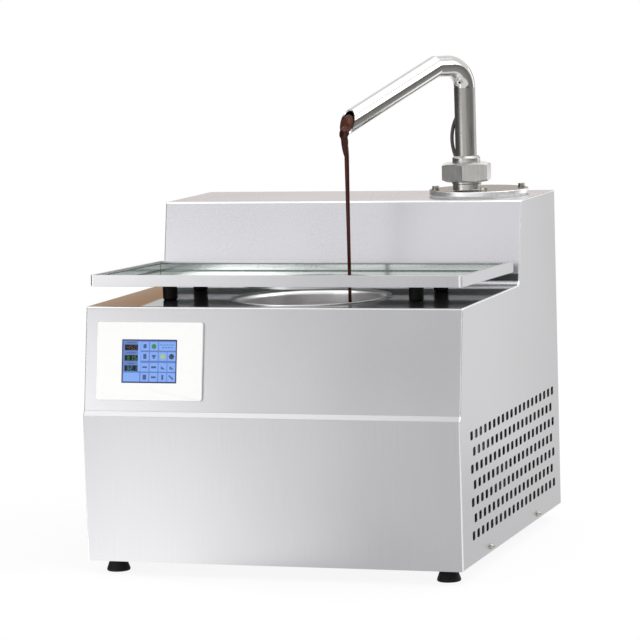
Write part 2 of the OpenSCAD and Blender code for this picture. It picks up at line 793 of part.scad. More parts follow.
module plate_gasket() color("#e9e6df") {
    difference() {
        rod_z(plate_x, plate_y, z_top, z_plate, plate_r - 2);
        rod_z(pump_x, pump_y, z_top - cut, z_plate + cut, column_r + 1);
        plate_bolt_spots() rod_z(0, 0, z_top - cut, z_plate + cut, bolt_d / 2 + fit);
    }
}

module cover_plate() color("#b2afab") {
    difference() {
        rod_z(plate_x, plate_y, z_plate, z_neck, plate_r);
        rod_z(pump_x, pump_y, z_plate - cut, z_neck + cut, bore_r);
        plate_bolt_spots() rod_z(0, 0, z_plate - cut, z_neck + cut, bolt_d / 2 + fit);
    }
}

module plate_bolts() color("#8e9092") {
    plate_bolt_spots() {
        translate([0, 0, z_neck]) hex_bar(bolt_flats, bolt_head_h);
        rod_z(0, 0, z_top - sheet - 6, z_neck, bolt_d / 2);
    }
}

// Screwed half of the union, standing on the cover plate
module union_neck() color("#a3a3a0") {
    translate([pump_x, pump_y, 0]) rotate_extrude() polygon([[bore_r, z_neck],
        [neck_d / 2, z_neck], [neck_d / 2, z_nut - 3], [neck_d / 2 + 1, z_nut - 2],
        [neck_d / 2 + 1, z_nut + 1], [thread_d / 2, z_nut + 2], [thread_d / 2, z_seal],
        [bore_r, z_seal]]);
}

module union_seal() color("#f0efe9")
    tube_z(pump_x, pump_y, z_seal, z_seal + seal_t, liner_r - 1, bore_r);

module union_nut() color("#a9aaa9") {
    corner_r = nut_flats / 2 / cos(30);
    face_r = corner_r - 7;
    chamfer_h = 3;
    difference() {
        translate([pump_x, pump_y, z_nut]) rotate([0, 0, nut_turn]) intersection() {
            hex_bar(nut_flats, nut_h);
            rotate_extrude() polygon([[0, 0], [face_r, 0], [corner_r, chamfer_h],
                [corner_r, nut_h - chamfer_h], [face_r, nut_h], [0, nut_h]]);
        }
        rod_z(pump_x, pump_y, z_nut - cut, z_collar - nut_lip, thread_d / 2 + union_gap);
        rod_z(pump_x, pump_y, z_nut, z_collar + cut, collar_d / 2 + union_gap);
    }
}

// Welded half of the union: a liner held by the nut's lip, and the collar above it
module union_ferrule() color("#a3a3a0") {
    low = z_seal + seal_t;
    translate([pump_x, pump_y, 0]) rotate_extrude() polygon([[bore_r, low], [liner_r, low],
        [liner_r, low + liner_t], [collar_d / 2, low + liner_t], [collar_d / 2, z_riser - 2.5],
        [pipe_r + 1.5, z_riser], [bore_r, z_riser]]);
}

module riser() color("#9b9c9d")
    tube_z(pump_x, pump_y, z_riser, z_level - elbow_r, pipe_r, bore_r);

// Everything on the outlet's side of the mitred joint between the level pipe and the spout
module past_mitre() {
    side = 4 * mouth_reach;
    translate([mitre_reach, 0, z_level]) rotate([0, spout_slope / 2, 0])
        translate([0, -side / 2, -side / 2]) cube(side);
}

module bend_rod(r) {
    translate([elbow_r, 0, z_level - elbow_r]) rotate([90, 0, 0]) rotate([0, 0, 90])
        rotate_extrude(angle = 90) translate([elbow_r, 0]) circle(r);
    translate([elbow_r, 0, z_level]) rotate([0, 90, 0])
        cylinder(h = mitre_reach - elbow_r + pipe_r, r = r);
}

module elbow() color("#c8c9ca") {
    on_riser() difference() {
        bend_rod(pipe_r);
        bend_rod(bore_r);
        past_mitre();
    }
}

module spout_tube() color("#dcdcdd") {
    long = (mouth_reach - mitre_reach) / cos(spout_slope) + 2 * pipe_d;
    on_riser() difference() {
        intersection() {
            translate([mitre_reach, 0, z_level]) rotate([0, 90 + spout_slope, 0])
                translate([0, 0, -pipe_d]) difference() {
                    cylinder(h = long + pipe_d, r = pipe_r);
                    translate([0, 0, -cut]) cylinder(h = long + pipe_d + 2 * cut, r = bore_r);
                }
            past_mitre();
        }
        block([mouth_reach, -pipe_d, mouth_z - 3 * pipe_d],
            [mouth_reach + 3 * pipe_d, pipe_d, z_level]);
    }
}

// Sheathed sensor lead that arches from the collar up into the riser's side
module sensor_lead() color("#4a4a4b") {
    arch_r = (lead_span * lead_span / 4 + lead_bulge * lead_bulge) / (2 * lead_bulge);
    half = asin(lead_span / 2 / arch_r) + 4;
    translate([pump_x, pump_y, 0]) rotate([0, 0, 172]) difference() {
        translate([pipe_r + lead_bulge - arch_r, 0, z_riser + lead_span / 2 - 3])
            rotate([90, 0, 0]) rotate([0, 0, -half]) rotate_extrude(angle = 2 * half)
                translate([arch_r, 0]) circle(d = lead_d);
        rod_z(0, 0, z_riser, z_level, pipe_r);
        rod_z(0, 0, z_collar, z_riser, collar_d / 2);
        rod_z(0, 0, z_neck, z_collar + 1, nut_flats);
    }
}

module tray_plan(w, d, r) {
    translate([0, tray_d / 2]) rounded_rect(w, d, r);
}

module tray() color("#dfe3e2") {
    hole_y = bowl_y - tray_y;
    on_tray() difference() {
        union() {
            difference() {
                linear_extrude(tray_h) tray_plan(tray_w, tray_d, tray_r);
                translate([0, 0, tray_t]) linear_extrude(tray_h - tray_t - hem_h)
                    tray_plan(tray_w - 2 * tray_t, tray_d - 2 * tray_t, tray_r - tray_t);
                translate([0, 0, tray_h - hem_h - cut]) linear_extrude(hem_h + 2 * cut)
                    tray_plan(tray_w - 2 * hem_w, tray_d - 2 * hem_w, tray_r - hem_w);
            }
            rod_z(bowl_x, hole_y, -drip_h, tray_t, tray_hole_r + tray_t);
        }
        rod_z(bowl_x, hole_y, -drip_h - cut, tray_t + cut, tray_hole_r);
    }
}

// Rubber mounts: flat on the deck, and cut to the tray's underside
module tray_mounts() color("#161617") {
    edge = 2.5;
    tall = 2 * tray_lift;
    side = 2 * body_w;
    difference() {
        for (x = [-mount_x, mount_x], y = [0, mount_span])
            translate([x, y_front + mount_front + y, z_deck]) rotate_extrude() {
                polygon([[0, 0], [mount_d / 2 - edge, 0], [mount_d / 2 - edge, edge],
                    [mount_d / 2, edge], [mount_d / 2, tall], [0, tall]]);
                intersection() {
                    translate([mount_d / 2 - edge, edge]) circle(edge);
                    translate([mount_d / 2 - edge, 0]) square(edge);
                }
            }
        on_tray() translate([-side / 2, -side / 2, 0]) cube([side, side, tall]);
    }
}

module panel_bezel() color("#f4f4f2") {
    on_panel() difference() {
        linear_extrude(bezel_t) rounded_rect(bezel_w, bezel_h, bezel_r);
        translate([-screen_w / 2, -screen_h / 2, -cut])
            cube([screen_w, screen_h, bezel_t + 2 * cut]);
    }
}

module panel_screen() color("#8fb2e6") {
    on_panel() translate([-screen_w / 2, -screen_h / 2, 0])
        cube([screen_w, screen_h, bezel_t - screen_sink]);
}

module panel_case() color("#3a3c40") {
    step = 8;
    on_panel() {
        translate([-case_w / 2, -case_h / 2, -case_d / 2]) cube([case_w, case_h, case_d / 2]);
        translate([-case_w / 2 + step, -case_h / 2 + step, -case_d])
            cube([case_w - 2 * step, case_h - 2 * step, case_d / 2]);
    }
}

module control_box() color("#bfc1c3") {
    x0 = -half_w + 2 * sheet + 12;
    y0 = y_back - 50 - box_d;
    lid_t = 6;
    lip = 1.5;
    block([x0 + lip, y0 + lip, gear_foot], [x0 + box_w - lip, y0 + box_d - lip,
        gear_foot + box_h - lid_t]);
    block([x0, y0, gear_foot + box_h - lid_t], [x0 + box_w, y0 + box_d, gear_foot + box_h]);
}

// Appliance inlet in the back panel, with a recess for the plug and its three blades
module power_inlet() color("#1b1b1d") {
    rim = 4;
    wall = 2.5;
    body = 24;
    y_out = y_back + sheet;
    difference() {
        union() {
            block([inlet_x - inlet_w / 2, y_back - body, inlet_z - inlet_d / 2],
                [inlet_x + inlet_w / 2, y_out, inlet_z + inlet_d / 2]);
            block([inlet_x - inlet_w / 2 - rim, y_out, inlet_z - inlet_d / 2 - rim],
                [inlet_x + inlet_w / 2 + rim, y_out + inlet_lip, inlet_z + inlet_d / 2 + rim]);
        }
        block([inlet_x - inlet_w / 2 + wall, y_out - 16, inlet_z - inlet_d / 2 + wall],
            [inlet_x + inlet_w / 2 - wall, y_out + inlet_lip + cut, inlet_z + inlet_d / 2 - wall]);
    }
    for (x = [-7, 0, 7]) block([inlet_x + x - 1, y_out - 16, inlet_z - 2 + (x == 0 ? 3 : -2)],
        [inlet_x + x + 1, y_out - 3, inlet_z + 2 + (x == 0 ? 3 : -2)]);
}

module switch_frame() color("#1b1b1d") {
    rim = 3;
    wall = 1.5;
    body = 18;
    hw = rocker_w / 2 + rocker_gap;
    hh = rocker_h / 2 + rocker_gap;
    y_out = y_back + sheet;
    difference() {
        union() {
            block([inlet_x - hw - wall, y_back - body, switch_z - hh - wall],
                [inlet_x + hw + wall, y_out, switch_z + hh + wall]);
            block([inlet_x - hw - rim, y_out, switch_z - hh - rim],
                [inlet_x + hw + rim, y_out + 2, switch_z + hh + rim]);
        }
        block([inlet_x - hw, y_back - body + wall, switch_z - hh],
            [inlet_x + hw, y_out + 2 + cut, switch_z + hh]);
        rod_x(inlet_x - hw - wall - cut, inlet_x + hw + wall + cut, y_out + 2 - rocker_pivot,
            switch_z, 1.5 + run_clear);
    }
}

// Rocker that turns on a pin through the frame's walls, shown tipped to one side
module switch_rocker() color("#a31f1c") {
    y_pivot = y_back + sheet + 2 - rocker_pivot;
    translate([inlet_x, y_pivot, switch_z]) rotate([rocker_lean, 0, 0]) {
        intersection() {
            block([-rocker_w / 2, -4, -rocker_h / 2], [rocker_w / 2, 8, rocker_h / 2]);
            rod_x(-rocker_w, rocker_w, 0, 0, rocker_h / 2);
        }
        rod_x(-rocker_w / 2 - rocker_gap - 1.5, rocker_w / 2 + rocker_gap + 1.5, 0, 0, 1.5);
    }
}

fan_pin_r = 3;

module fan_frame() color("#232427") {
    y0 = y_back - fan_t;
    difference() {
        block([fan_x - fan_size / 2, y0, fan_z - fan_size / 2],
            [fan_x + fan_size / 2, y_back, fan_z + fan_size / 2]);
        rod_y(fan_x, y0 - cut, y_back + cut, fan_z, fan_bore_r);
    }
    for (a = [45, 135, 225, 315]) translate([fan_x, y0, fan_z]) rotate([0, a, 0])
        block([0, 0, -2], [fan_bore_r + 1, 3, 2]);
    rod_y(fan_x, y0, y0 + 4, fan_z, 14);
    rod_y(fan_x, y0 + 4, y_back - 3, fan_z, fan_pin_r);
}

module fan_rotor() color("#2d2e31") {
    y0 = y_back - fan_t + 4.5;
    y1 = y_back - 2;
    mid = (y0 + y1) / 2;
    pitch_angle = 38;
    tip = fan_bore_r - 1.5;
    chord = 22;
    difference() {
        union() {
            rod_y(fan_x, y0, y1, fan_z, 17);
            intersection() {
                translate([fan_x, mid, fan_z]) for (i = [0 : fan_blades - 1])
                    rotate([0, 360 * i / fan_blades, 0]) rotate([pitch_angle, 0, 0])
                        block([12, -0.9, -chord / 2], [tip + 4, 0.9, chord / 2]);
                rod_y(fan_x, y0, y1, fan_z, tip);
            }
        }
        rod_y(fan_x, y0 - cut, y_back - 3, fan_z, fan_pin_r + run_clear);
    }
}

left_side_panel();
right_side_panel();
front_panel();
deck_plate();
rear_housing();
back_panel();
base_pan();
casing_screws();
back_screws();
foot_pad(-1, -1);  // foot_pad_fl
foot_pad(1, -1);  // foot_pad_fr
foot_pad(-1, 1);  // foot_pad_rl
foot_pad(1, 1);  // foot_pad_rr
foot_stud(-1, -1);  // foot_stud_fl
foot_stud(1, -1);  // foot_stud_fr
foot_stud(-1, 1);  // foot_stud_rl
foot_stud(1, 1);  // foot_stud_rr
bowl();
bowl_heater();
bowl_insulation();
bowl_sensor();
stirrer_shaft();
stirrer_blade();
shaft_bush();
stirrer_gearbox();
stirrer_motor();
bowl_outlet();
pump_foot();
pump_column();
auger_shaft();
auger_flight();
pump_gearbox();
pump_motor();
column_heater();
cover_plate();
plate_gasket();
plate_bolts();
union_neck();
union_nut();
union_seal();
union_ferrule();
riser();
elbow();
spout_tube();
sensor_lead();
tray();
tray_mounts();
panel_bezel();
panel_screen();
panel_case();
control_box();
power_inlet();
switch_frame();
switch_rocker();
fan_frame();
fan_rotor();
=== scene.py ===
# %% [markdown]
# # A chocolate melting tank
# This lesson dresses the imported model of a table-top tank: a vented steel casing, a heated bowl under a
# lift-off tray, and a swivelling spout that pours chocolate back into the bowl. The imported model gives
# every piece its size and place, in metres, with the front towards -Y and up along +Z.

# %% Load the frame
from math import asin, atan2, cos, exp, hypot, pi, radians, sin, tan, tau

import bmesh
import bpy
from mathutils import Matrix, Vector


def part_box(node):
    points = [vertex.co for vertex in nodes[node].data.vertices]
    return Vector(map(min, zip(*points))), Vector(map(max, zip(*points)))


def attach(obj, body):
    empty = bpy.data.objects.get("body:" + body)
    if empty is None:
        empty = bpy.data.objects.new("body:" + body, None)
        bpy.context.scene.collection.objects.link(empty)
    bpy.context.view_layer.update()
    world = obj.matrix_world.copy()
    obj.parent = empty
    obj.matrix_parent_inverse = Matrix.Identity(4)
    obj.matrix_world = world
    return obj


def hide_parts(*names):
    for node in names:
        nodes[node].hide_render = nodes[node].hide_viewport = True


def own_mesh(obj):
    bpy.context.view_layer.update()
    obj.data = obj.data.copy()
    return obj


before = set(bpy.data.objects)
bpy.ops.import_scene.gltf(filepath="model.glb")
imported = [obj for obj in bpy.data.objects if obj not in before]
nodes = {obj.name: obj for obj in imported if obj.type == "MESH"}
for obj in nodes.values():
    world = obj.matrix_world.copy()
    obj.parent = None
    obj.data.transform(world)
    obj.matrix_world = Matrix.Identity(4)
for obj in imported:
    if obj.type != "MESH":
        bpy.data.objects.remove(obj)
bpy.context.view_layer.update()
scene = bpy.context.scene

# %% [markdown]
# ## The camera
# A product photograph is taken with a long lens from a few metres away, so upright edges stay nearly
# upright. The lens, spot and angles below give back the casing's edges. The camera comes first, because
# it shows which surfaces deserve the most work.

# %% Camera
MM = 0.001
CAMERA_SPOT = (1246.9, -3817.2, 736.0)
CAMERA_TURN = radians(18.22)
CAMERA_DROP = radians(6.39)
CAMERA_ROLL = radians(-1.71)
LENS, SENSOR = 180.6, 36
FARTHEST = 50


def at(*mm):
    """A place or a step in metres, from millimetres."""
    return Vector(mm) * MM


bpy.ops.object.camera_add(location=at(*CAMERA_SPOT))
camera = bpy.context.object
camera.rotation_euler = (Matrix.Rotation(CAMERA_TURN, 3, "Z")
                         @ Matrix.Rotation(pi / 2 - CAMERA_DROP, 3, "X")
                         @ Matrix.Rotation(CAMERA_ROLL, 3, "Z")).to_euler()
camera.data.lens = LENS
camera.data.sensor_width = SENSOR
camera.data.clip_end = FARTHEST
scene.camera = camera
print("Camera at", tuple(round(v, 3) for v in camera.location))

# %% [markdown]
# ## Tools for modelling by hand
# Operators act on all that is selected, and loading leaves every node selected, so each piece starts by
# putting everything down. Outlines of folded and turned pieces are drawn by extruding one vertex again
# and again. Lengths of pieces are named in millimetres.

# %% Hand tools
MERGE = 0.002
NEAR = 0.01


def move(*mm):
    """A matrix that moves by a step."""
    return Matrix.Translation(at(*mm))


def spin(angle, axis):
    """A matrix that turns about an axis through the origin."""
    return Matrix.Rotation(angle, 4, axis)


def put_down():
    """Leaves edit mode and lets go of everything."""
    if bpy.context.mode != "OBJECT":
        bpy.ops.object.mode_set(mode="OBJECT")
    bpy.ops.object.select_all(action="DESELECT")


def hold(piece):
    """Selects one piece alone and makes it the active one."""
    put_down()
    bpy.context.view_layer.objects.active = piece
    piece.select_set(True)


def open_up(piece):
    """Opens a piece for editing with all of it selected."""
    hold(piece)
    bpy.ops.object.mode_set(mode="EDIT")
    bpy.ops.mesh.select_mode(type="VERT")
    bpy.ops.mesh.select_all(action="SELECT")


def take_up(name):
    """Names the new primitive, settles it at the origin and opens it for editing."""
    piece = bpy.context.object
    piece.name = piece.data.name = name
    place(piece, piece.matrix_world.copy())
    open_up(piece)
    return piece


def pick(piece, kind, test):
    """Selects the EDGE or FACE elements of the open piece that pass a test."""
    bpy.ops.mesh.select_mode(type=kind)
    bpy.ops.mesh.select_all(action="DESELECT")
    mesh = bmesh.from_edit_mesh(piece.data)
    for element in mesh.edges if kind == "EDGE" else mesh.faces:
        if test(element):
            element.select_set(True)
    bmesh.update_edit_mesh(piece.data)


def push(*mm):
    """Extrudes what is selected by a step."""
    bpy.ops.mesh.extrude_region_move(TRANSFORM_OT_translate={"value": at(*mm)})


def close_up():
    """Merges doubled vertices of the open piece and turns its faces outwards."""
    bpy.ops.mesh.select_all(action="SELECT")
    bpy.ops.mesh.remove_doubles(threshold=MERGE * MM)
    bpy.ops.mesh.normals_make_consistent(inside=False)


def finish_with(piece, kind, **settings):
    """Adds a modifier to a piece and applies it."""
    hold(piece)
    modifier = piece.modifiers.new(kind.title(), kind)
    for name, value in settings.items():
        setattr(modifier, name, value)
    bpy.ops.object.modifier_apply(modifier=modifier.name)


def ease(piece, width, segments, angle=30):
    """Rounds the edges of a piece that are sharper than an angle in degrees."""
    finish_with(piece, "BEVEL", width=width * MM, segments=segments, limit_method="ANGLE",
                angle_limit=radians(angle))


def cut(piece, tool, operation="DIFFERENCE"):
    """Cuts a piece with a tool, or joins or intersects them, and throws the tool away."""
    finish_with(piece, "BOOLEAN", object=tool, operation=operation, solver="EXACT")
    bpy.data.objects.remove(tool, do_unlink=True)


def place(piece, matrix):
    """Carries a piece to its place and leaves its object at the origin."""
    hold(piece)
    piece.matrix_world = matrix
    bpy.ops.object.transform_apply(location=True, rotation=True, scale=True)


def join(name, pieces):
    """Joins pieces to a single one with a name."""
    hold(pieces[0])
    for piece in pieces:
        piece.select_set(True)
    bpy.ops.object.join()
    pieces[0].name = name
    return pieces[0]


def copies(piece, spots):
    """Copies of a piece at spots, joined to one piece with its name."""
    twins = []
    for spot in spots:
        twin = piece.copy()
        twin.data = piece.data.copy()
        twin.data.transform(spot)
        bpy.context.collection.objects.link(twin)
        twins.append(twin)
    name = piece.name
    bpy.data.objects.remove(piece, do_unlink=True)
    return join(name, twins)


def dress(piece, body, slot, material, *replaced, angle=35, flat=True):
    """Gives a piece its shading, material and body, and hides the nodes it stands for."""
    hold(piece)
    bpy.ops.object.shade_smooth_by_angle(angle=radians(angle))
    if flat:
        finish_with(piece, "WEIGHTED_NORMAL", keep_sharp=True)
    piece.data.materials.clear()
    piece.data.materials.append(material)
    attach(piece, body)
    if replaced:
        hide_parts(*replaced)
    print(f"{piece.name}: {len(piece.data.polygons)} faces in {material.name}, rides {body}")


def vary(piece, materials, choose):
    """Adds finishes to a dressed piece, and gives each face the one that a rule numbers."""
    for material in materials:
        piece.data.materials.append(material)
    for face in piece.data.polygons:
        face.material_index = int(choose(face))
    print(f"{piece.name}: {len(piece.data.materials)} finishes")


# %% Outlines
FOLD_STEPS, CORNER_STEPS = 8, 5


def draw(name, points):
    """A chain of edges through points in millimetres, drawn by extruding one vertex."""
    put_down()
    bpy.ops.mesh.primitive_plane_add(size=MM)
    piece = take_up(name)
    bpy.ops.mesh.merge(type="CENTER")
    bpy.ops.transform.translate(value=at(*points[0]))
    for start, end in zip(points, points[1:]):
        push(*(Vector(end) - Vector(start)))
    bpy.ops.mesh.select_all(action="SELECT")
    return piece


def rounded(points, radii, steps=6):
    """Flat points with the corners that have a radius turned to arcs."""
    path = [Vector(p) for p in points]
    result = []
    for i, corner in enumerate(path):
        radius = radii.get(i, 0)
        if not radius:
            result.append(tuple(corner))
            continue
        back = (path[i - 1] - corner).normalized()
        onward = (path[(i + 1) % len(path)] - corner).normalized()
        half = back.angle(onward) / 2
        centre = corner + (back + onward).normalized() * radius / sin(half)
        first = corner + back * radius / tan(half) - centre
        last = corner + onward * radius / tan(half) - centre
        swing = first.angle_signed(last)
        for k in range(steps + 1):
            turned_by = Matrix.Rotation(-swing * k / steps, 2)
            result.append(tuple(centre + turned_by @ first))
    return result


def turned(name, points, axis=(0, 0), radii=None, steps=96, arc_steps=6):
    """A piece turned about an upright axis from points of radius and height, some rounded."""
    outline = rounded(points, radii or {}, arc_steps)
    piece = draw(name, [(radius, 0, height) for radius, height in outline])
    bpy.ops.mesh.spin(steps=steps, angle=tau, center=(0, 0, 0), axis=(0, 0, 1))
    close_up()
    bpy.ops.transform.translate(value=at(*axis, 0))
    put_down()
    return piece


def bent_sheet(name, path, folds, half_width, thickness):
    """Sheet folded along a path in Y and Z, with a radius for each fold."""
    piece = draw(name, [(-half_width, y, z) for y, z in path])
    push(2 * half_width, 0, 0)
    for i, radius in folds.items():
        spot = Vector(path[i])
        bend = (spot - Vector(path[i - 1])).angle(Vector(path[i + 1]) - spot)
        pick(piece, "EDGE", lambda edge: all((v.co.yz / MM - spot).length < NEAR for v in edge.verts))
        bpy.ops.mesh.bevel(offset=radius * tan(bend / 2) * MM, segments=FOLD_STEPS, affect="EDGES")
    close_up()
    start = Vector(path[0])
    first = Vector(path[1]) - start
    mesh = bmesh.from_edit_mesh(piece.data)
    lowest = min(mesh.faces, key=lambda face: (face.calc_center_median().yz / MM - start).length)
    if lowest.normal.yz.dot(Vector((-first.y, first.x))) < 0:
        bpy.ops.mesh.flip_normals()
    finish_with(piece, "SOLIDIFY", thickness=thickness * MM, offset=-1)
    return piece


def rod(name, radius, low, high, sides=96):
    """An upright rod at the origin, as a blank or a tool, with its first corner on +X."""
    put_down()
    bpy.ops.mesh.primitive_cylinder_add(vertices=sides, radius=radius * MM, depth=(high - low) * MM,
                                        location=at(0, 0, (low + high) / 2),
                                        rotation=(0, 0, -pi / 2))
    piece = take_up(name)
    put_down()
    return piece


def plate(name, width, height, corner, thickness):
    """A flat plate with rounded corners about the origin, its back on z = 0."""
    put_down()
    bpy.ops.mesh.primitive_plane_add(size=1)
    piece = take_up(name)
    bpy.ops.transform.resize(value=at(width, height, 1 / MM))
    if corner:
        bpy.ops.mesh.bevel(offset=corner * MM, segments=CORNER_STEPS, affect="VERTICES")
        bpy.ops.mesh.select_all(action="SELECT")
    push(0, 0, thickness)
    close_up()
    put_down()
    return piece


def eased_hex(name, radius, low, high, width):
    """A six-sided nut or bolt head with eased edges."""
    nut = rod(name, radius, low, high, sides=6)
    ease(nut, width, 2)
    return nut


print("Tools ready")

# %% [markdown]
# ## Finishes
# Almost everything here is stainless steel, and pieces differ by how they were finished: brushed,
# polished, ground or turned. One recipe serves them all: noise as large as the real marks drives small
# changes of colour, roughness and height, on Object coordinates.

# %% Recipe for a finish
NOISE_SPAN, TWO_NOISES_SPAN = (0.3, 0.7), (0.7, 1.3)
BUMP_STRENGTH = 0.6


def linear(code):
    """A colour for a shader from its sRGB hex code."""
    parts = [int(code[i:i + 2], 16) / 255 for i in (1, 3, 5)]
    return [c / 12.92 if c <= 0.04045 else ((c + 0.055) / 1.055) ** 2.4 for c in parts] + [1.0]


def add(tree, kind, inputs, output=0, **settings):
    """Adds a node, sets it up, links or fills its inputs, and gives back one output."""
    node = tree.nodes.new("ShaderNode" + kind)
    for name, value in settings.items():
        setattr(node, name, value)
    for name, value in inputs.items():
        if isinstance(value, bpy.types.NodeSocket):
            tree.links.new(value, node.inputs[name])
        else:
            node.inputs[name].default_value = value
    return node.outputs[output]


def marks(tree, size, detail=3.0):
    """Noise whose marks have one size in millimetres, or one each along X, Y and Z."""
    sizes = size if isinstance(size, tuple) else (size, size, size)
    spot = add(tree, "TexCoord", {}, "Object")
    scaled = add(tree, "Mapping", {"Vector": spot, "Scale": [1 / (s * MM) for s in sizes]})
    return add(tree, "TexNoise", {"Vector": scaled, "Scale": 1.0, "Detail": detail}, "Fac")


def finish(name, colours, size, rough, depth=0.0, cloud=0.0, **sockets):
    """Two colours and two roughnesses that follow marks of a real size, in millimetres."""
    material = bpy.data.materials.new(name)
    material.use_nodes = True
    tree = material.node_tree
    shader = tree.nodes["Principled BSDF"]
    pattern, (least, most) = marks(tree, size), NOISE_SPAN
    if cloud:
        pattern = add(tree, "Math", {0: pattern, 1: marks(tree, cloud, 1.0)})
        least, most = TWO_NOISES_SPAN
    pattern = add(tree, "MapRange", {"Value": pattern, "From Min": least, "From Max": most})
    dark, light = [linear(colour) for colour in colours]
    tone = add(tree, "MixRGB", {"Fac": pattern, "Color1": dark, "Color2": light})
    gloss = add(tree, "MapRange", {"Value": pattern, "To Min": rough[0], "To Max": rough[1]})
    tree.links.new(tone, shader.inputs["Base Color"])
    tree.links.new(gloss, shader.inputs["Roughness"])
    if depth:
        bump = add(tree, "Bump", {"Height": pattern, "Distance": depth * MM, "Strength": BUMP_STRENGTH})
        tree.links.new(bump, shader.inputs["Normal"])
    for socket, value in sockets.items():
        shader.inputs[socket.replace("_", " ")].default_value = value
    return material


def metal(name, colours, size, rough, **more):
    """A finish of bare metal."""
    return finish(name, colours, size, rough, Metallic=1.0, **more)


# %% Steels
BRUSH = (0.5, 0.5, 70)
# Stainless sheet brushed up and down: fine streaks, and reflections that are soft but still there.
brushed_steel = metal("brushed_stainless_sheet", ("#aeaeb0", "#b6b6b8"), BRUSH, (0.28, 0.34), cloud=160)
# The housing's sheet: the same brush, painted lighter as a painted highlight, with a faint violet cast.
# The same painted highlight is used on the deck's folds and the tray's hem.
highlight_housing_steel = metal("brushed_stainless_painted_lighter", ("#c9c8cc", "#d0cfd3"), BRUSH, (0.26, 0.32),
                      cloud=160)
# Deck sheet polished to a mirror and wiped with oil: clear reflections over a soft haze.
mirror_steel = metal("mirror_stainless_sheet", ("#b2b1ae", "#bcbbb8"), (60, 25, 25), (0.30, 0.38),
                     Specular_Tint=linear("#b4b4b2"), Coat_Weight=1.0, Coat_Roughness=0.03)
# Pressed and polished sheet: bright, a little hazy, with a faint green cast.
polished_steel = metal("polished_stainless_pressing", ("#d4dad7", "#dce1de"), 40, (0.12, 0.15))
# Edges and folds: painted brighter than the sheet beside them, a painted highlight for thin bright lines.
highlight_edge_steel = metal("stainless_edge_painted_highlight", ("#ececed", "#f4f4f5"), 4, (0.34, 0.42))
# Spun and satin-ground sheet: fine rings, and a soft bright gloss.
satin_steel = metal("satin_stainless_spinning", ("#e8e8e8", "#f2f2f2"), (30, 30, 0.8), (0.30, 0.36))
# Polished pipe: clear bands of light, with a faint even mottle.
pipe_steel = metal("polished_stainless_pipe", ("#c9c8c6", "#d0cfcd"), 12, (0.10, 0.14))
# Turned and ground fittings: greyer, with rings round the axis and a soft gloss.
turned_steel = metal("turned_stainless_fitting", ("#b3b2af", "#c1c0bd"), (14, 14, 0.6), (0.24, 0.34),
                     depth=0.005)
# Machined nut: upright milling marks on a lighter steel.
nut_steel = metal("machined_stainless_nut", ("#dbdad7", "#e7e6e3"), (2, 2, 10), (0.28, 0.38),
                  depth=0.005)
# Ground plate: dull, slightly warm, and darker than the sheets round it.
plate_steel = metal("ground_stainless_plate", ("#7a736b", "#847d75"), 6, (0.24, 0.32))
# Pipe ground by a belt: upright scratches that dull it.
ground_steel = metal("ground_stainless_pipe", ("#9c9b98", "#a9a8a5"), (0.8, 0.8, 40), (0.26, 0.36),
                     depth=0.005)
# Zinc-plated screws: passivated to a warm grey with a faint mottle.
zinc = metal("zinc_plated_steel", ("#aaa79c", "#bab7ad"), 2, (0.25, 0.38))
# Painted shade: a dark steel for thin strips under the tray's hem and at the foot of its walls,
# and for the deck's rear edge under the tray.
painted_shade_steel = metal("stainless_painted_shade", ("#4e5553", "#5c6361"), 3, (0.4, 0.5))
# Galvanised pan: a dull grey mottle of zinc grains about 8 mm across.
galvanised = metal("galvanised_sheet", ("#6f7477", "#8c9194"), 8, (0.45, 0.6))
print("Steels:", len(bpy.data.materials))

# %% [markdown]
# The other materials are rubber, silicone, glass wool, castings, enamel and moulded plastics. Their
# marks are grains and mottles. Grains finer than a pixel are drawn coarser than life, so that they still
# show.

# %% Other finishes
# Moulded black rubber: nearly matt, with a fine bloom.
rubber = finish("moulded_black_rubber", ("#070707", "#101010"), 1.5, (0.5, 0.7), depth=0.04,
                Specular_IOR_Level=0.25)
# Silicone heater mat: brick red with a woven backing that shows through.
silicone = finish("red_silicone_mat", ("#8e3a1f", "#b5522f"), 1.2, (0.5, 0.65), depth=0.05)
# Glass wool: pale yellow fibres that lie round the bowl.
glass_wool = finish("glass_wool_blanket", ("#cfc8b2", "#ece7d8"), (6, 6, 1.2), (0.85, 0.95), depth=0.5)
# White silicone gasket: smooth and slightly waxy.
gasket = finish("white_silicone_gasket", ("#dedbd3", "#efece5"), 4, (0.4, 0.5))
# Sintered bronze: warm, open-grained metal.
bronze = metal("sintered_bronze", ("#8a6a30", "#b08a46"), 0.8, (0.3, 0.45))
# Cast aluminium: grey with the grain of the sand mould.
cast_aluminium = metal("cast_aluminium", ("#85898d", "#a4a8ab"), 1.6, (0.42, 0.55), depth=0.08)
# Stove enamel on the motors: dark, slightly orange-peeled.
enamel = finish("dark_stove_enamel", ("#1d2024", "#2a2e33"), 3, (0.3, 0.42), depth=0.05)
# Sleeve over the sensor's wire: dark woven glass fibre.
sleeve = finish("glass_fibre_sleeve", ("#33322f", "#55534f"), (0.8, 0.8, 1.6), (0.35, 0.5), depth=0.05)
# White ABS frame of the touch panel: moulded, with a fine even grain.
white_abs = finish("white_abs", ("#f4f4f2", "#fbfbfa"), 0.9, (0.34, 0.42), depth=0.01)
# Grey ABS of the control box.
grey_abs = finish("grey_abs", ("#9fa1a3", "#b0b2b4"), 0.9, (0.45, 0.55), depth=0.02)
# Black polyamide of the inlet, the switch and the fan: moulded with a spark-eroded grain.
black_nylon = finish("black_polyamide", ("#151517", "#242427"), 0.8, (0.4, 0.55), depth=0.03)
# Red polyamide of the mains rocker.
red_nylon = finish("red_polyamide", ("#8e1a17", "#aa2320"), 0.8, (0.3, 0.42), depth=0.02)
print("Finishes:", len(bpy.data.materials))

# %% [markdown]
# ## Carried-over nodes
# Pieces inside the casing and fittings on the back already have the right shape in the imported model.
# They stay as they are and only get their real finish.

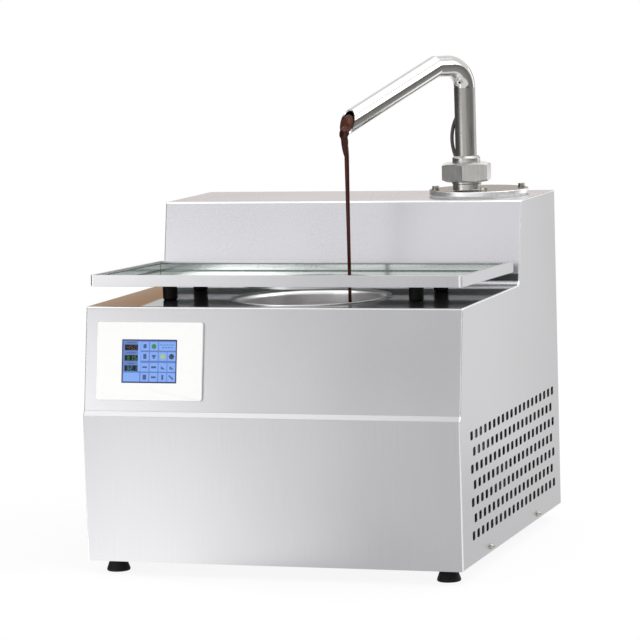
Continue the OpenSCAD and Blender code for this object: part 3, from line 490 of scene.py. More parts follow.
# %% Finish the nodes that stay
carried = {
    brushed_steel: ["back_panel"],
    galvanised: ["base_pan"],
    polished_steel: ["stirrer_blade", "auger_flight"],
    turned_steel: ["pump_column", "bowl_outlet", "stirrer_shaft", "auger_shaft", "pump_foot",
                   "bowl_sensor"],
    silicone: ["bowl_heater", "column_heater"],
    glass_wool: ["bowl_insulation"],
    gasket: ["plate_gasket", "union_seal"],
    bronze: ["shaft_bush"],
    cast_aluminium: ["stirrer_gearbox", "pump_gearbox"],
    enamel: ["stirrer_motor", "pump_motor"],
    grey_abs: ["control_box"],
    black_nylon: ["panel_case", "power_inlet", "switch_frame", "fan_frame", "fan_rotor"],
    red_nylon: ["switch_rocker"],
}
for material, names in carried.items():
    for name in names:
        nodes[name].data.materials.clear()
        nodes[name].data.materials.append(material)
print("Carried over:", sum(len(names) for names in carried.values()), "nodes")

# %% [markdown]
# ## The casing
# The front, the deck and the rear housing are folded sheets. Each is drawn as a path, pulled out
# sideways, rounded at its folds and given its thickness. The side panels share the same profile, so that
# all meet edge to edge.


# %% Casing profile
def in_mm(box):
    """The two corners of a box in millimetres."""
    return [corner / MM for corner in box]


SHEET, SEAM = 1.5, 6.0
EDGE_R, INNER_R, STEP_R = 3.0, 8.0, 1.6
STEP_LOW, STEP_HIGH, STEP_IN = 178.0, 184.0, 4.5
DECK_IN, DECK_END, WALL_END = 25.0, 48.5, 68.5
COVER_LIP = 16.0
side_low, side_high = in_mm(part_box("right_side_panel"))
Y_FRONT, Y_REAR = side_low.y, side_high.y
Z_BASE, Z_TOP = side_low.z, side_high.z
HALF_W = side_high.x
Z_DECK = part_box("tray_mounts")[0].z / MM
STEP_FOOT, STEP_HEAD = (Y_FRONT, Z_BASE + STEP_LOW), (Y_FRONT + STEP_IN, Z_BASE + STEP_HIGH)
DECK_FRONT, DECK_REAR = (Y_FRONT + DECK_IN, Z_DECK), (DECK_END, Z_DECK)
WALL_TOP = (WALL_END, Z_TOP)


def towards(start, end, distance):
    """The point at a distance from one point towards another."""
    step = (Vector(end) - Vector(start)).normalized() * distance
    return tuple(Vector(start) + step)


front_seam = towards(DECK_FRONT, STEP_HEAD, SEAM)
wall_seam = towards(DECK_REAR, WALL_TOP, INNER_R + SEAM)
print("Deck at", Z_DECK, "mm, top at", Z_TOP, "mm")

# %% Folded sheets
inside_w = HALF_W - SHEET
front = bent_sheet("front_sheet", [(Y_FRONT, Z_BASE), STEP_FOOT, STEP_HEAD, front_seam],
                   {2: STEP_R, 1: STEP_R}, inside_w, SHEET)
dress(front, "casing", "brushed_stainless", brushed_steel, "front_panel")

deck = bent_sheet("deck_sheet", [front_seam, DECK_FRONT, DECK_REAR, wall_seam],
                  {2: INNER_R, 1: EDGE_R}, inside_w, SHEET)
bowl_low, bowl_high = in_mm(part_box("bowl"))
BOWL_X, BOWL_Y = (bowl_low.x + bowl_high.x) / 2, (bowl_low.y + bowl_high.y) / 2
BOWL_R, RIM_BEND, RIM_GAP = 88.0, 7.0, 0.1
hole = rod("deck_hole", BOWL_R + RIM_BEND + RIM_GAP, Z_DECK - 3 * SHEET, Z_DECK + 3 * SHEET)
place(hole, move(BOWL_X, BOWL_Y, 0))
cut(deck, hole)
dress(deck, "casing", "mirror_stainless", mirror_steel, "deck_plate")

cover = bent_sheet("rear_cover", [wall_seam, WALL_TOP, (Y_REAR, Z_TOP), (Y_REAR, Z_TOP - COVER_LIP)],
                   {2: EDGE_R, 1: EDGE_R}, inside_w, SHEET)
dress(cover, "casing", "brushed_stainless", highlight_housing_steel, "rear_housing")

# %% [markdown]
# Only the deck's level top is mirror polished. Its front lip is brushed like the front, so the seam all
# but vanishes, and its rear edge under the tray is painted dark as painted shade. Folds get a lighter
# steel as a painted highlight, thin bright lines. Faces are told apart by the way they point.

# %% Brushed lips and bright folds
LEVEL, STEEP = 0.97, 0.3


def deck_finish(face):
    """Mirror on the level top, painted highlight on folds, a brushed front lip and painted shade at the
    rear.
    """
    if face.normal.z >= LEVEL:
        return 0
    # Folds get the lighter housing steel: a painted highlight.
    if face.normal.z > STEEP:
        return 2
    # The front lip is brushed; the rear edge under the tray gets painted shade.
    return 1 if face.center.y < (DECK_FRONT[0] + EDGE_R) * MM else 3


vary(deck, [brushed_steel, highlight_housing_steel, painted_shade_steel], deck_finish)
# The cover's folds get the bright edge steel: a painted highlight.
vary(cover, [highlight_edge_steel], lambda face: STEEP < face.normal.z < LEVEL)

# %% [markdown]
# Each side panel is a flat blank, filled, thickened and eased at its outer edge. That soft edge, painted
# in a brighter steel as a painted highlight, draws the bright lines along the casing. The vent slots come
# last: one rounded punch is repeated along staggered rows.

# %% Side panels
EASE, EASE_STEPS = 1.45, 4
SLOT_W, SLOT_H, SLOT_R = 11.6, 10.6, 2.5
SLOT_PITCH, ROW_PITCH = 20.75, 20.0
SLOT_ROWS, SLOTS = 7, 20
SLOT_FRONT, SLOT_LOW = Y_FRONT + 50.0, Z_BASE + 34.5
EDGE_ON, FACE_ON = 0.05, 0.99
profile = rounded([(Y_FRONT, Z_BASE), STEP_FOOT, STEP_HEAD, DECK_FRONT, DECK_REAR, WALL_TOP,
                   (Y_REAR, Z_TOP), (Y_REAR, Z_BASE)],
                  {1: STEP_R, 2: STEP_R, 3: EDGE_R, 4: INNER_R, 5: EDGE_R, 6: EDGE_R})


def slot_punch(side):
    """All the punches for one side panel."""
    punch = plate("slot_punch", SLOT_H, SLOT_W, SLOT_R, 4 * SHEET)
    upright = move(side * HALF_W - 2 * SHEET, 0, 0) @ spin(pi / 2, "Y")
    spots = []
    for row in range(SLOT_ROWS):
        shift = row % 2
        for i in range(SLOTS - shift):
            y, z = SLOT_FRONT + SLOT_PITCH * (i + shift / 2), SLOT_LOW + ROW_PITCH * row
            spots.append(move(0, y, z) @ upright)
    return copies(punch, spots)


def side_panel(name, side):
    """One side panel, with side 1 to the right and -1 to the left."""
    panel = draw(name, [(side * HALF_W, y, z) for y, z in profile])
    bpy.ops.mesh.edge_face_add()
    push(-side * SHEET, 0, 0)
    close_up()
    pick(panel, "EDGE", lambda edge: all(abs(abs(v.co.x) / MM - HALF_W) < NEAR for v in edge.verts))
    bpy.ops.mesh.bevel(offset=EASE * MM, segments=EASE_STEPS, affect="EDGES")
    cut(panel, slot_punch(side))
    return panel


for side_name, side in (("left", -1), ("right", 1)):
    panel = side_panel(side_name + "_panel", side)
    dress(panel, "casing", "brushed_stainless", brushed_steel, side_name + "_side_panel", angle=25)
    # The eased edges get the bright edge steel: a painted highlight.
    vary(panel, [highlight_edge_steel], lambda face: EDGE_ON < face.normal.x * side < FACE_ON)

# %% [markdown]
# ## Screws
# Button-head screws hold the sides to the pan and the back to its flanges. One screw is turned with a
# shallow socket and copied to every place.

# %% Button-head screws
HEAD_R, HEAD_H, SOCKET_R = 3.75, 4.5, 1.3
SCREW_R, SCREW_L = 1.9, 8.0
HEAD_STEP = radians(10)
head_arc = [(HEAD_R * cos(k * HEAD_STEP), HEAD_H * sin(k * HEAD_STEP)) for k in range(1, 8)]
screw_outline = [(0, -SCREW_L), (SCREW_R, -SCREW_L), (SCREW_R, 0), (HEAD_R, 0), *head_arc,
                 (SOCKET_R, HEAD_H * 0.95), (SOCKET_R, HEAD_H * 0.55), (0, HEAD_H * 0.45)]


def screws(name, node, spots):
    """Button-head screws at spots, each a place and a turn, that stand for a node."""
    row = copies(turned(name, screw_outline, steps=24), spots)
    dress(row, "casing", "zinc_screws", zinc, node)


SIDE_SCREW_IN, SIDE_SCREW_Z = 124.5, Z_BASE + 8.0
screws("side_screws", "casing_screws",
       [move(side * HALF_W, y, SIDE_SCREW_Z) @ spin(side * pi / 2, "Y")
        for side in (-1, 1) for y in (Y_FRONT + SIDE_SCREW_IN, Y_REAR - SIDE_SCREW_IN)])

Y_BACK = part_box("back_panel")[1].y / MM
BACK_SCREW_X = HALF_W - SHEET - 8.0
BACK_SCREW_Z = (Z_BASE + 38.0, (Z_BASE + Z_TOP) / 2, Z_TOP - 30.0)
screws("back_panel_screws", "back_screws",
       [move(x, Y_BACK, z) @ spin(-pi / 2, "X")
        for x in (-BACK_SCREW_X, BACK_SCREW_X) for z in BACK_SCREW_Z])

# %% [markdown]
# ## Feet
# Each foot is a turned rubber cone with a rolled lower edge, moulded onto a stud. Its thin nut starts as
# a six-sided rod whose corners are eased.

# %% Feet
FOOT_H, FOOT_R, FOOT_TOP_R = 13.5, 14.5, 10.5
FOOT_LIP, FOOT_DRAFT = 2.4, 0.4
STUD_R, STUD_SUNK, STUD_TOP = 4.0, 8.0, Z_BASE + 18.0
NUT_R, NUT_H, NUT_EASE = 7.39, 3.2, 0.4
STUD_LOW = FOOT_H - STUD_SUNK
foot_outline = [(0, 0), (FOOT_R - FOOT_DRAFT, 0), (FOOT_R, FOOT_LIP), (FOOT_TOP_R, FOOT_H),
                (STUD_R, FOOT_H), (STUD_R, STUD_LOW), (0, STUD_LOW)]

for corner in ("fl", "fr", "rl", "rr"):
    pad_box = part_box("foot_pad_" + corner)
    spot = [v / MM / 2 for v in (pad_box[0] + pad_box[1])[:2]]
    pad = turned("foot_" + corner + "_rubber", foot_outline, spot, {1: 1.2, 3: 1.4}, steps=48)
    dress(pad, "foot_" + corner, "black_rubber", rubber, "foot_pad_" + corner)
    stud = eased_hex("foot_" + corner + "_nut", NUT_R, FOOT_H, FOOT_H + NUT_H, NUT_EASE)
    cut(stud, rod("shank", STUD_R, STUD_LOW, STUD_TOP, sides=32), "UNION")
    place(stud, move(*spot, 0))
    dress(stud, "foot_" + corner, "zinc_screws", zinc, "foot_stud_" + corner)

# %% [markdown]
# ## The bowl
# The bowl is spun from sheet: a rounded floor, an upright wall, and a lip that rolls out over the deck's
# hole and lies flat on the deck. The section is drawn all round, so the bowl has a true inside and
# outside.

# %% Bowl
WALL, FLOOR_R = 1.5, 35.0
BOWL_FLOOR = Z_DECK - 150.0
RIM_R = (bowl_high.x - bowl_low.x) / 2
bowl_outline = [(0, BOWL_FLOOR), (BOWL_R, BOWL_FLOOR), (BOWL_R, Z_DECK + WALL), (RIM_R, Z_DECK + WALL),
                (RIM_R, Z_DECK), (BOWL_R + WALL, Z_DECK), (BOWL_R + WALL, BOWL_FLOOR - WALL),
                (0, BOWL_FLOOR - WALL)]
bowl_bends = {1: FLOOR_R, 2: RIM_BEND, 3: 0.8, 4: 0.5, 5: RIM_BEND - WALL, 6: FLOOR_R + WALL}
bowl = turned("spun_bowl", bowl_outline, (BOWL_X, BOWL_Y), bowl_bends, steps=128, arc_steps=8)
dress(bowl, "casing", "polished_stainless", satin_steel, "bowl")

# %% [markdown]
# ## The tray
# The tray is a shallow pan with folded walls, a hem turned in at the top and a round opening with a
# short drip collar over the bowl. It is pulled up from a flat plate: hem, underside of the hem, walls
# with a thin strip at top and foot for painted shade, and floor. It leans back a little.

# %% Tray
tray_low, tray_high = in_mm(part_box("tray"))
TRAY_W, TRAY_D, TRAY_H, TRAY_T = tray_high.x - tray_low.x, 241.0, 14.0, 1.2
HEM, SHADE_STRIP, TRAY_R, DRIP, OPENING_R = 3.0, 1.3, 4.0, 4.0, 86.0
TRAY_TILT = radians(-1.45)
TRAY_FRONT, TRAY_Z = -207.0, Z_DECK + 23.6
HEM_Z = TRAY_H - HEM
tray_frame = move(0, TRAY_FRONT, TRAY_Z) @ spin(TRAY_TILT, "X")

tray = plate("working_tray", TRAY_W, TRAY_D, TRAY_R, TRAY_H)
open_up(tray)
pick(tray, "FACE", lambda face: face.normal.z > 0.9)
bpy.ops.mesh.inset(thickness=HEM * MM)
push(0, 0, -HEM)
push(0, 0, 0)
widen = [(size - 2 * TRAY_T) / (size - 2 * HEM) for size in (TRAY_W, TRAY_D)]
bpy.ops.transform.resize(value=(*widen, 1), center_override=at(0, 0, HEM_Z))
# Three drops leave thin strips under the hem and at the foot of the walls, for painted shade.
for drop in (SHADE_STRIP, HEM_Z - TRAY_T - 2 * SHADE_STRIP, SHADE_STRIP):
    push(0, 0, -drop)
put_down()
ease(tray, 0.5, 3, angle=50)

over_bowl = move(BOWL_X, BOWL_Y - TRAY_FRONT - TRAY_D / 2, 0)
collar_blank = rod("collar_blank", OPENING_R + TRAY_T, -DRIP, TRAY_T, sides=128)
opening = rod("opening", OPENING_R, -2 * DRIP, 2 * DRIP, sides=128)
for tool, operation in ((collar_blank, "UNION"), (opening, "DIFFERENCE")):
    place(tool, over_bowl)
    cut(tray, tool, operation)
place(tray, tray_frame @ move(0, TRAY_D / 2, 0))
dress(tray, "tray", "polished_stainless", polished_steel, "tray")

# %% Finishes of the tray
UPRIGHT, WALLED, CORNERED = 0.9, 0.5, 0.1
UNDER = -0.2
tray_back = tray_frame.inverted()


def tray_finish(face):
    """Polished inside, brushed outside, painted highlight on corners and hem, painted shade in thin
    strips.
    """
    spot, way = tray_back @ face.center / MM, tray_back.to_3x3() @ face.normal
    if spot.z < UNDER and abs(way.z) < UPRIGHT:
        return 1
    if abs(spot.x) <= TRAY_W / 2 - TRAY_R and TRAY_R <= spot.y <= TRAY_D - TRAY_R:
        return 0
    outward = way.x * spot.x + way.y * (spot.y - TRAY_D / 2) > 0
    # The hem gets the lighter housing steel: a painted highlight.
    if spot.z > HEM_Z and (way.z > STEEP or not outward):
        return 4
    # Outside corners get the bright edge steel: a painted highlight.
    if outward and abs(way.z) < UPRIGHT:
        return 2 if abs(way.x * way.y) > CORNERED else 1
    # Thin strips under the hem and at the foot of the walls get painted shade.
    low_shade_strip = TRAY_T < spot.z < TRAY_T + SHADE_STRIP
    high_shade_strip = HEM_Z - SHADE_STRIP < spot.z < HEM_Z
    return 3 if abs(way.z) < WALLED and not outward and (low_shade_strip or high_shade_strip) else 0


vary(tray, [brushed_steel, highlight_edge_steel, painted_shade_steel, highlight_housing_steel], tray_finish)

# %% [markdown]
# The tray stands on four rubber mounts. One is turned with a rounded foot, copied, and trimmed to the
# slope of the tray's underside, so that no gap shows.

# %% Tray mounts
MOUNT_R, MOUNT_BLANK, MOUNT_FOOT = 9.0, 40.0, 2.5
MOUNT_X, MOUNT_Y = 158.0, (Y_FRONT + 104.0, Y_FRONT + 212.0)
mount_outline = [(0, 0), (MOUNT_R, 0), (MOUNT_R, MOUNT_BLANK), (0, MOUNT_BLANK)]
mounts = copies(turned("tray_buffers", mount_outline, radii={1: MOUNT_FOOT}, steps=48),
                [move(x, y, Z_DECK) for x in (-MOUNT_X, MOUNT_X) for y in MOUNT_Y])
open_up(mounts)
bpy.ops.mesh.bisect(plane_co=tray_frame.translation, plane_no=tray_frame.to_3x3() @ Vector((0, 0, 1)),
                    use_fill=True, clear_outer=True)
dress(mounts, "tray", "black_rubber", rubber, "tray_mounts")

# %% [markdown]
# ## The union
# The spout is held by a pipe union: a round plate bolted to the housing, a threaded neck, a hexagon nut
# and a collar welded to the riser. The nut is the common part of a six-sided rod and a turned blank,
# which cuts the curved chamfers of every machined nut.

# %% Plate and neck
nut_low, nut_high = in_mm(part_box("union_nut"))
PUMP_X, PUMP_Y = [v / MM / 2 for v in sum(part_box("riser"), Vector())[:2]]
plate_low, plate_high = in_mm(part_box("cover_plate"))
PLATE_X, PLATE_Y = (plate_low.x + plate_high.x) / 2, (plate_low.y + plate_high.y) / 2
PLATE_R = (plate_high.x - plate_low.x) / 2
NECK_LOW, NUT_LOW, NUT_HIGH = plate_high.z, nut_low.z, nut_high.z
BORE_R, NECK_R = 11.45, 18.0
WELD_LEG, THREAD, NECK_IN = 1.6, 1.0, 6.0
RIM_FACES = 0.7

disc_outline = [(0, plate_low.z), (PLATE_R, plate_low.z), (PLATE_R, NECK_LOW), (0, NECK_LOW)]
disc = turned("cover_disc", disc_outline, (PLATE_X, PLATE_Y), {1: 0.6, 2: 1.2}, steps=128)
dress(disc, "casing", "satin_stainless", plate_steel, "cover_plate")
# The plate's rim gets the bright edge steel: a painted highlight.
vary(disc, [highlight_edge_steel], lambda face: face.normal.z < RIM_FACES)

neck_outline = [(BORE_R, NECK_LOW), (NECK_R + WELD_LEG, NECK_LOW), (NECK_R, NECK_LOW + WELD_LEG),
                (NECK_R, NUT_LOW - 3.2), (NECK_R + THREAD, NUT_LOW - 2.4),
                (NECK_R + THREAD, NUT_LOW + NECK_IN), (BORE_R, NUT_LOW + NECK_IN)]
neck = turned("threaded_neck", neck_outline, (PUMP_X, PUMP_Y), {2: 1.4, 4: 0.6})
dress(neck, "casing", "satin_stainless", turned_steel, "union_neck")

# %% Bolts of the plate
BOLTS, BOLT_CIRCLE, BOLT_TURN = 4, 55.5, radians(22)
BOLT_R, BOLT_H, BOLT_EASE = 4.62, 5.0, 0.5
WASHER_R, WASHER_H, BOLT_SHANK_R = 5.2, 0.95, 2.5
BOLT_END, OVERLAP = Z_TOP - 7.5, 0.05
bolt = eased_hex("plate_screws", BOLT_R, NECK_LOW + WASHER_H - OVERLAP, NECK_LOW + BOLT_H, BOLT_EASE)
cut(bolt, rod("washer", WASHER_R, NECK_LOW, NECK_LOW + WASHER_H, sides=48), "UNION")
cut(bolt, rod("bolt_shank", BOLT_SHANK_R, BOLT_END, NECK_LOW + 0.5, sides=24), "UNION")
bolts = copies(bolt, [move(PLATE_X, PLATE_Y, 0) @ spin(BOLT_TURN + tau * k / BOLTS, "Z")
                      @ move(BOLT_CIRCLE, 0, 0) for k in range(BOLTS)])
dress(bolts, "casing", "zinc_screws", zinc, "plate_bolts")

# %% Union nut and collar
NUT_FLATS, NUT_TURN = 58.0, radians(-24)
CHAMFER, CHAMFER_IN = 3.0, 7.0
NUT_BORE_R, NUT_THREAD_R, NUT_ROOF, PAST = 18.1, 23.35, 3.3, 5.0
nut_r = NUT_FLATS / 2 / cos(pi / 6)
pump_axis = move(PUMP_X, PUMP_Y, 0)
nut = rod("hexagon_nut", nut_r, NUT_LOW, NUT_HIGH, sides=6)
blank_outline = [(0, NUT_LOW), (nut_r - CHAMFER_IN, NUT_LOW), (nut_r, NUT_LOW + CHAMFER),
                 (nut_r, NUT_HIGH - CHAMFER), (nut_r - CHAMFER_IN, NUT_HIGH), (0, NUT_HIGH)]
cut(nut, turned("nut_blank", blank_outline, steps=144), "INTERSECT")
cut(nut, rod("nut_bore", NUT_BORE_R, NUT_LOW - PAST, NUT_HIGH + PAST))
cut(nut, rod("nut_thread", NUT_THREAD_R, NUT_LOW - PAST, NUT_HIGH - NUT_ROOF))
ease(nut, 0.7, 2, angle=28)
place(nut, pump_axis @ spin(NUT_TURN, "Z"))
dress(nut, "union_nut", "satin_stainless", nut_steel, "union_nut")

PIPE_R, COLLAR_R, COLLAR_GAP = 13.45, 17.75, 0.2
FLANGE_R, FLANGE_H, WELD_W, WELD_H = 20.8, 5.4, 1.9, 2.6
COLLAR_LOW, COLLAR_TOP = [corner.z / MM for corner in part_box("union_ferrule")]
FLANGE_TOP, SHOULDER = COLLAR_LOW + FLANGE_H, NUT_HIGH + 1.2
collar_outline = [(BORE_R, COLLAR_LOW), (FLANGE_R, COLLAR_LOW), (FLANGE_R, FLANGE_TOP),
                  (COLLAR_R - COLLAR_GAP, FLANGE_TOP), (COLLAR_R - COLLAR_GAP, NUT_HIGH),
                  (COLLAR_R, SHOULDER), (COLLAR_R, COLLAR_TOP - WELD_H), (PIPE_R + WELD_W, COLLAR_TOP),
                  (PIPE_R, COLLAR_TOP), (BORE_R, COLLAR_TOP)]
collar = turned("welded_collar", collar_outline, (PUMP_X, PUMP_Y), {6: 1.2})
dress(collar, "spout", "satin_stainless", turned_steel, "union_ferrule")

# %% [markdown]
# ## The spout
# The riser, a swept elbow and a straight spout are cut from one pipe. The elbow is a ring of vertices
# spun through a quarter turn and carried on level. It meets the spout at a mitre, so one slanting plane
# cuts both. The mouth is cut so that its lower lip leads. The walls get their thickness last.

# %% Riser, elbow and spout
PIPE_WALL, PIPE_SIDES = 2.0, 72
LEVEL_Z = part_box("elbow")[1].z / MM - PIPE_R
ELBOW_R, ELBOW_STEPS = 28.5, 24
MITRE_X, MOUTH_X, MOUTH_SHIFT = 49.5, 195.0, 1.5
SLOPE, MOUTH_LEAN = radians(23), radians(16)
SPOUT_TURN = radians(-122)
SPOUT_BLANK, BLANK_START = 250.0, 30.0
UP = Vector((0, 0, 1))
riser_frame = pump_axis @ spin(SPOUT_TURN, "Z")
mitre_normal = Vector((cos(SLOPE / 2), 0, -sin(SLOPE / 2)))


def pipe_ring(name, spot, normal):
    """A ring of vertices on the pipe's outside, square to a direction."""
    put_down()
    bpy.ops.mesh.primitive_circle_add(vertices=PIPE_SIDES, radius=PIPE_R * MM, location=at(*spot),
                                      rotation=normal.to_track_quat("Z", "X").to_euler())
    return take_up(name)


def trim(spot, normal):
    """Cuts the open piece at a plane and throws away what lies beyond it."""
    bpy.ops.mesh.select_all(action="SELECT")
    bpy.ops.mesh.bisect(plane_co=at(*spot), plane_no=normal, clear_outer=True)


def thicken(piece):
    """Turns an open pipe outwards, gives it its wall and carries it to the riser."""
    close_up()
    finish_with(piece, "SOLIDIFY", thickness=PIPE_WALL * MM, offset=-1)
    place(piece, riser_frame)


riser = pipe_ring("riser_pipe", (0, 0, COLLAR_TOP), UP)
push(0, 0, LEVEL_Z - ELBOW_R - COLLAR_TOP)
thicken(riser)
dress(riser, "spout", "satin_stainless", ground_steel, "riser")

elbow = pipe_ring("elbow_pipe", (0, 0, LEVEL_Z - ELBOW_R), UP)
bpy.ops.mesh.spin(steps=ELBOW_STEPS, angle=pi / 2, center=at(ELBOW_R, 0, LEVEL_Z - ELBOW_R),
                  axis=(0, -1, 0))
push(MITRE_X - ELBOW_R + PIPE_R, 0, 0)
trim((MITRE_X, 0, LEVEL_Z), mitre_normal)
thicken(elbow)
dress(elbow, "spout", "polished_stainless", pipe_steel, "elbow")

spout_way = Vector((cos(SLOPE), 0, -sin(SLOPE)))
spout = pipe_ring("spout_pipe", Vector((MITRE_X, 0, LEVEL_Z)) - spout_way * BLANK_START, spout_way)
push(*(spout_way * SPOUT_BLANK))
trim((MITRE_X, 0, LEVEL_Z), -mitre_normal)
MOUTH_Z = LEVEL_Z - (MOUTH_X - MITRE_X) * tan(SLOPE)
mouth_normal = Vector((cos(MOUTH_LEAN), 0, sin(MOUTH_LEAN)))
trim((MOUTH_X + MOUTH_SHIFT, 0, MOUTH_Z), mouth_normal)
thicken(spout)
dress(spout, "spout", "polished_stainless", pipe_steel, "spout_tube")

# %% [markdown]
# A thin sleeved wire runs from the collar up the riser's side, to the sensor of the pipe's heat. It bows
# out a little, so it is a small disc spun along a shallow arc.

# %% Sensor lead
LEAD_R, LEAD_SIDES, LEAD_STEPS = 2.3, 16, 28
LEAD_SPAN, LEAD_BULGE, LEAD_SUNK = 49.0, 5.5, 3.0
LEAD_TURN, LEAD_PAST = radians(172), radians(2)
arc_r = (LEAD_SPAN ** 2 / 4 + LEAD_BULGE ** 2) / (2 * LEAD_BULGE)
half_arc = asin(LEAD_SPAN / 2 / arc_r) + LEAD_PAST
arc_centre = (PIPE_R + LEAD_BULGE - arc_r, 0, COLLAR_TOP + LEAD_SPAN / 2 - LEAD_SUNK)
put_down()
bpy.ops.mesh.primitive_circle_add(vertices=LEAD_SIDES, radius=LEAD_R * MM, fill_type="NGON")
place(bpy.context.object, move(*arc_centre) @ spin(half_arc, "Y") @ move(arc_r, 0, 0))
lead = take_up("sensor_wire")
bpy.ops.mesh.spin(steps=LEAD_STEPS, angle=2 * half_arc, center=at(*arc_centre), axis=(0, 1, 0))
close_up()
place(lead, pump_axis @ spin(LEAD_TURN, "Z"))
dress(lead, "spout", "lead_sheath", sleeve, "sensor_lead")

# %% [markdown]
# ## The touch panel
# A white moulded frame sits on the leaning upper front, round a small colour display with generic
# content: three readouts on the left and a grid of buttons with plain signs. Each is a very thin raised
# shape, so no picture is needed.

# %% Frame and glass
lean_back, lean_up = Vector(DECK_FRONT) - Vector(STEP_HEAD)
LEAN = atan2(lean_back, lean_up)
PANEL_X, PANEL_UP = -HALF_W + 84.7, hypot(lean_back, lean_up) / 2 - 2.75
FRAME_W, FRAME_H, FRAME_T, FRAME_R = 136.0, 94.5, 4.0, 3.0
SCREEN_W, SCREEN_H = 70.8, 52.6
GLASS_Z = FRAME_T - 0.8
panel_frame = move(0, *STEP_HEAD) @ spin(pi / 2 - LEAN, "X") @ move(PANEL_X, PANEL_UP, 0)
bezel = plate("panel_frame", FRAME_W, FRAME_H, FRAME_R, FRAME_T)
window = plate("window", SCREEN_W, SCREEN_H, 0, 3 * FRAME_T)
window.data.transform(move(0, 0, -FRAME_T))
cut(bezel, window)
ease(bezel, 0.9, 3, angle=50)
place(bezel, panel_frame)
dress(bezel, "casing", "white_plastic", white_abs, "panel_bezel")

# %% Display colours
PIXEL = 0.5


def lit(name, dark, light, glow):
    """A colour of the lit display, with the faint grain of its pixels and a little glow."""
    return finish("display_" + name, (dark, light), PIXEL, (0.16, 0.22), Specular_IOR_Level=0.12,
                  Emission_Color=linear(light), Emission_Strength=glow)


navy = lit("navy", "#1d2a4e", "#263459", 0.05)
blue = lit("blue", "#5671ac", "#607ab6", 0.18)
pale_blue = lit("pale_blue", "#6f90d0", "#7a9cdc", 0.30)
slate = lit("slate", "#3f527f", "#4a5d8a", 0.08)
black = lit("black", "#06070c", "#0a0c12", 0.0)
amber = lit("amber", "#59402f", "#6a4c37", 0.08)
green = lit("green", "#33783c", "#408848", 0.12)
teal = lit("teal", "#357a8c", "#42889a", 0.14)
lime = lit("lime", "#93ad72", "#a3bd82", 0.16)
dark_grey = lit("dark", "#39414f", "#454e5e", 0.03)
print("Display colours ready")

# %% [markdown]
# Shapes on the display are thin plates, placed by their middle in millimetres from the middle of the
# display. Those of one colour are joined to one piece. The readouts use seven-segment numbers.

# %% Display shapes
LAYER = 0.12
BORDER = 1.3


def chip(x, y, width, height, corner=0.3, layer=0):
    """A thin plate about a middle, on the glass or some layers above it."""
    piece = plate("chip", width, height, corner, LAYER)
    piece.data.transform(move(x, y, GLASS_Z + layer * LAYER))
    return piece


def disc_chip(x, y, radius, sides=24):
    """A thin round plate on a button."""
    low = GLASS_Z + 2 * LAYER
    piece = rod("chip", radius, low, low + LAYER, sides)
    piece.data.transform(move(x, y, 0))
    return piece


def display(name, material, chips, *replaced):
    """Joins plates of one colour to one piece of the display."""
    piece = join(name, chips)
    place(piece, panel_frame)
    dress(piece, "casing", "screen_glass", material, *replaced)


COLUMNS = (-5.65, 5.9, 17.45, 28.75)
ROWS = (18.25, 5.9, -7.15, -19.2)
TILE, TILE_R = 10.4, 0.6
READOUT_X, READOUTS = -23.35, (16.6, 3.9, -8.55)
READOUT_W, READOUT_H = 16.9, 6.8
display("display_glass", navy, [plate("glass", SCREEN_W, SCREEN_H, 0, GLASS_Z)], "panel_screen")
display("display_field", blue, [chip(0, 0, SCREEN_W - 2 * BORDER, SCREEN_H - 2 * BORDER)])
spots = [(x, y) for y in ROWS for x in COLUMNS if y != ROWS[0] or x in COLUMNS[:2]]
tiles = [chip(x, y, TILE, TILE, TILE_R, 1) for x, y in spots]
tiles += [chip(23.1, ROWS[0], 21.7, TILE, TILE_R, 1), chip(-22.8, ROWS[3], 21.0, TILE, TILE_R, 1),
          chip(-12.9, 5.8, 3.4, 36.0, layer=1)]
display("display_tiles", pale_blue, tiles)
display("display_readouts", black,
        [chip(READOUT_X, y, READOUT_W, READOUT_H, layer=1) for y in READOUTS])

# %% Numbers on the readouts
# Segments have their usual letters: a to f clockwise from the top, and g in the middle.
SEGMENTS = {"a": (0, 1, 0), "b": (1, 0.5, 1), "c": (1, -0.5, 1), "d": (0, -1, 0),
            "e": (-1, -0.5, 1), "f": (-1, 0.5, 1), "g": (0, 0, 0)}
LIT = {"0": "afbecd", "1": "bc", "2": "abged", "3": "abgcd", "4": "fgbc", "5": "afgcd"}
DIGIT_W, DIGIT_H, BAR, BAR_R = 3.0, 4.8, 0.8, 0.15
DIGITS_X, POINT_X = (-27.6, -23.2, -18.0), -20.4


def number(text, y):
    """Seven-segment bars for three figures with one decimal, on a readout."""
    bars = [chip(POINT_X, y - DIGIT_H / 2, BAR, BAR, 0, 2)]
    for digit, x in zip(text, DIGITS_X):
        for segment in LIT[digit]:
            dx, dy, upright = SEGMENTS[segment]
            size = (BAR, DIGIT_H / 2 - BAR) if upright else (DIGIT_W - BAR, BAR)
            bars.append(chip(x + dx * DIGIT_W / 2, y + dy * DIGIT_H / 2, *size, BAR_R, 2))
    return bars


for ink_name, ink, text, y in zip(("amber", "green", "teal"), (amber, green, teal),
                                  ("450", "315", "321"), READOUTS):
    display("display_number_" + ink_name, ink, number(text, y))

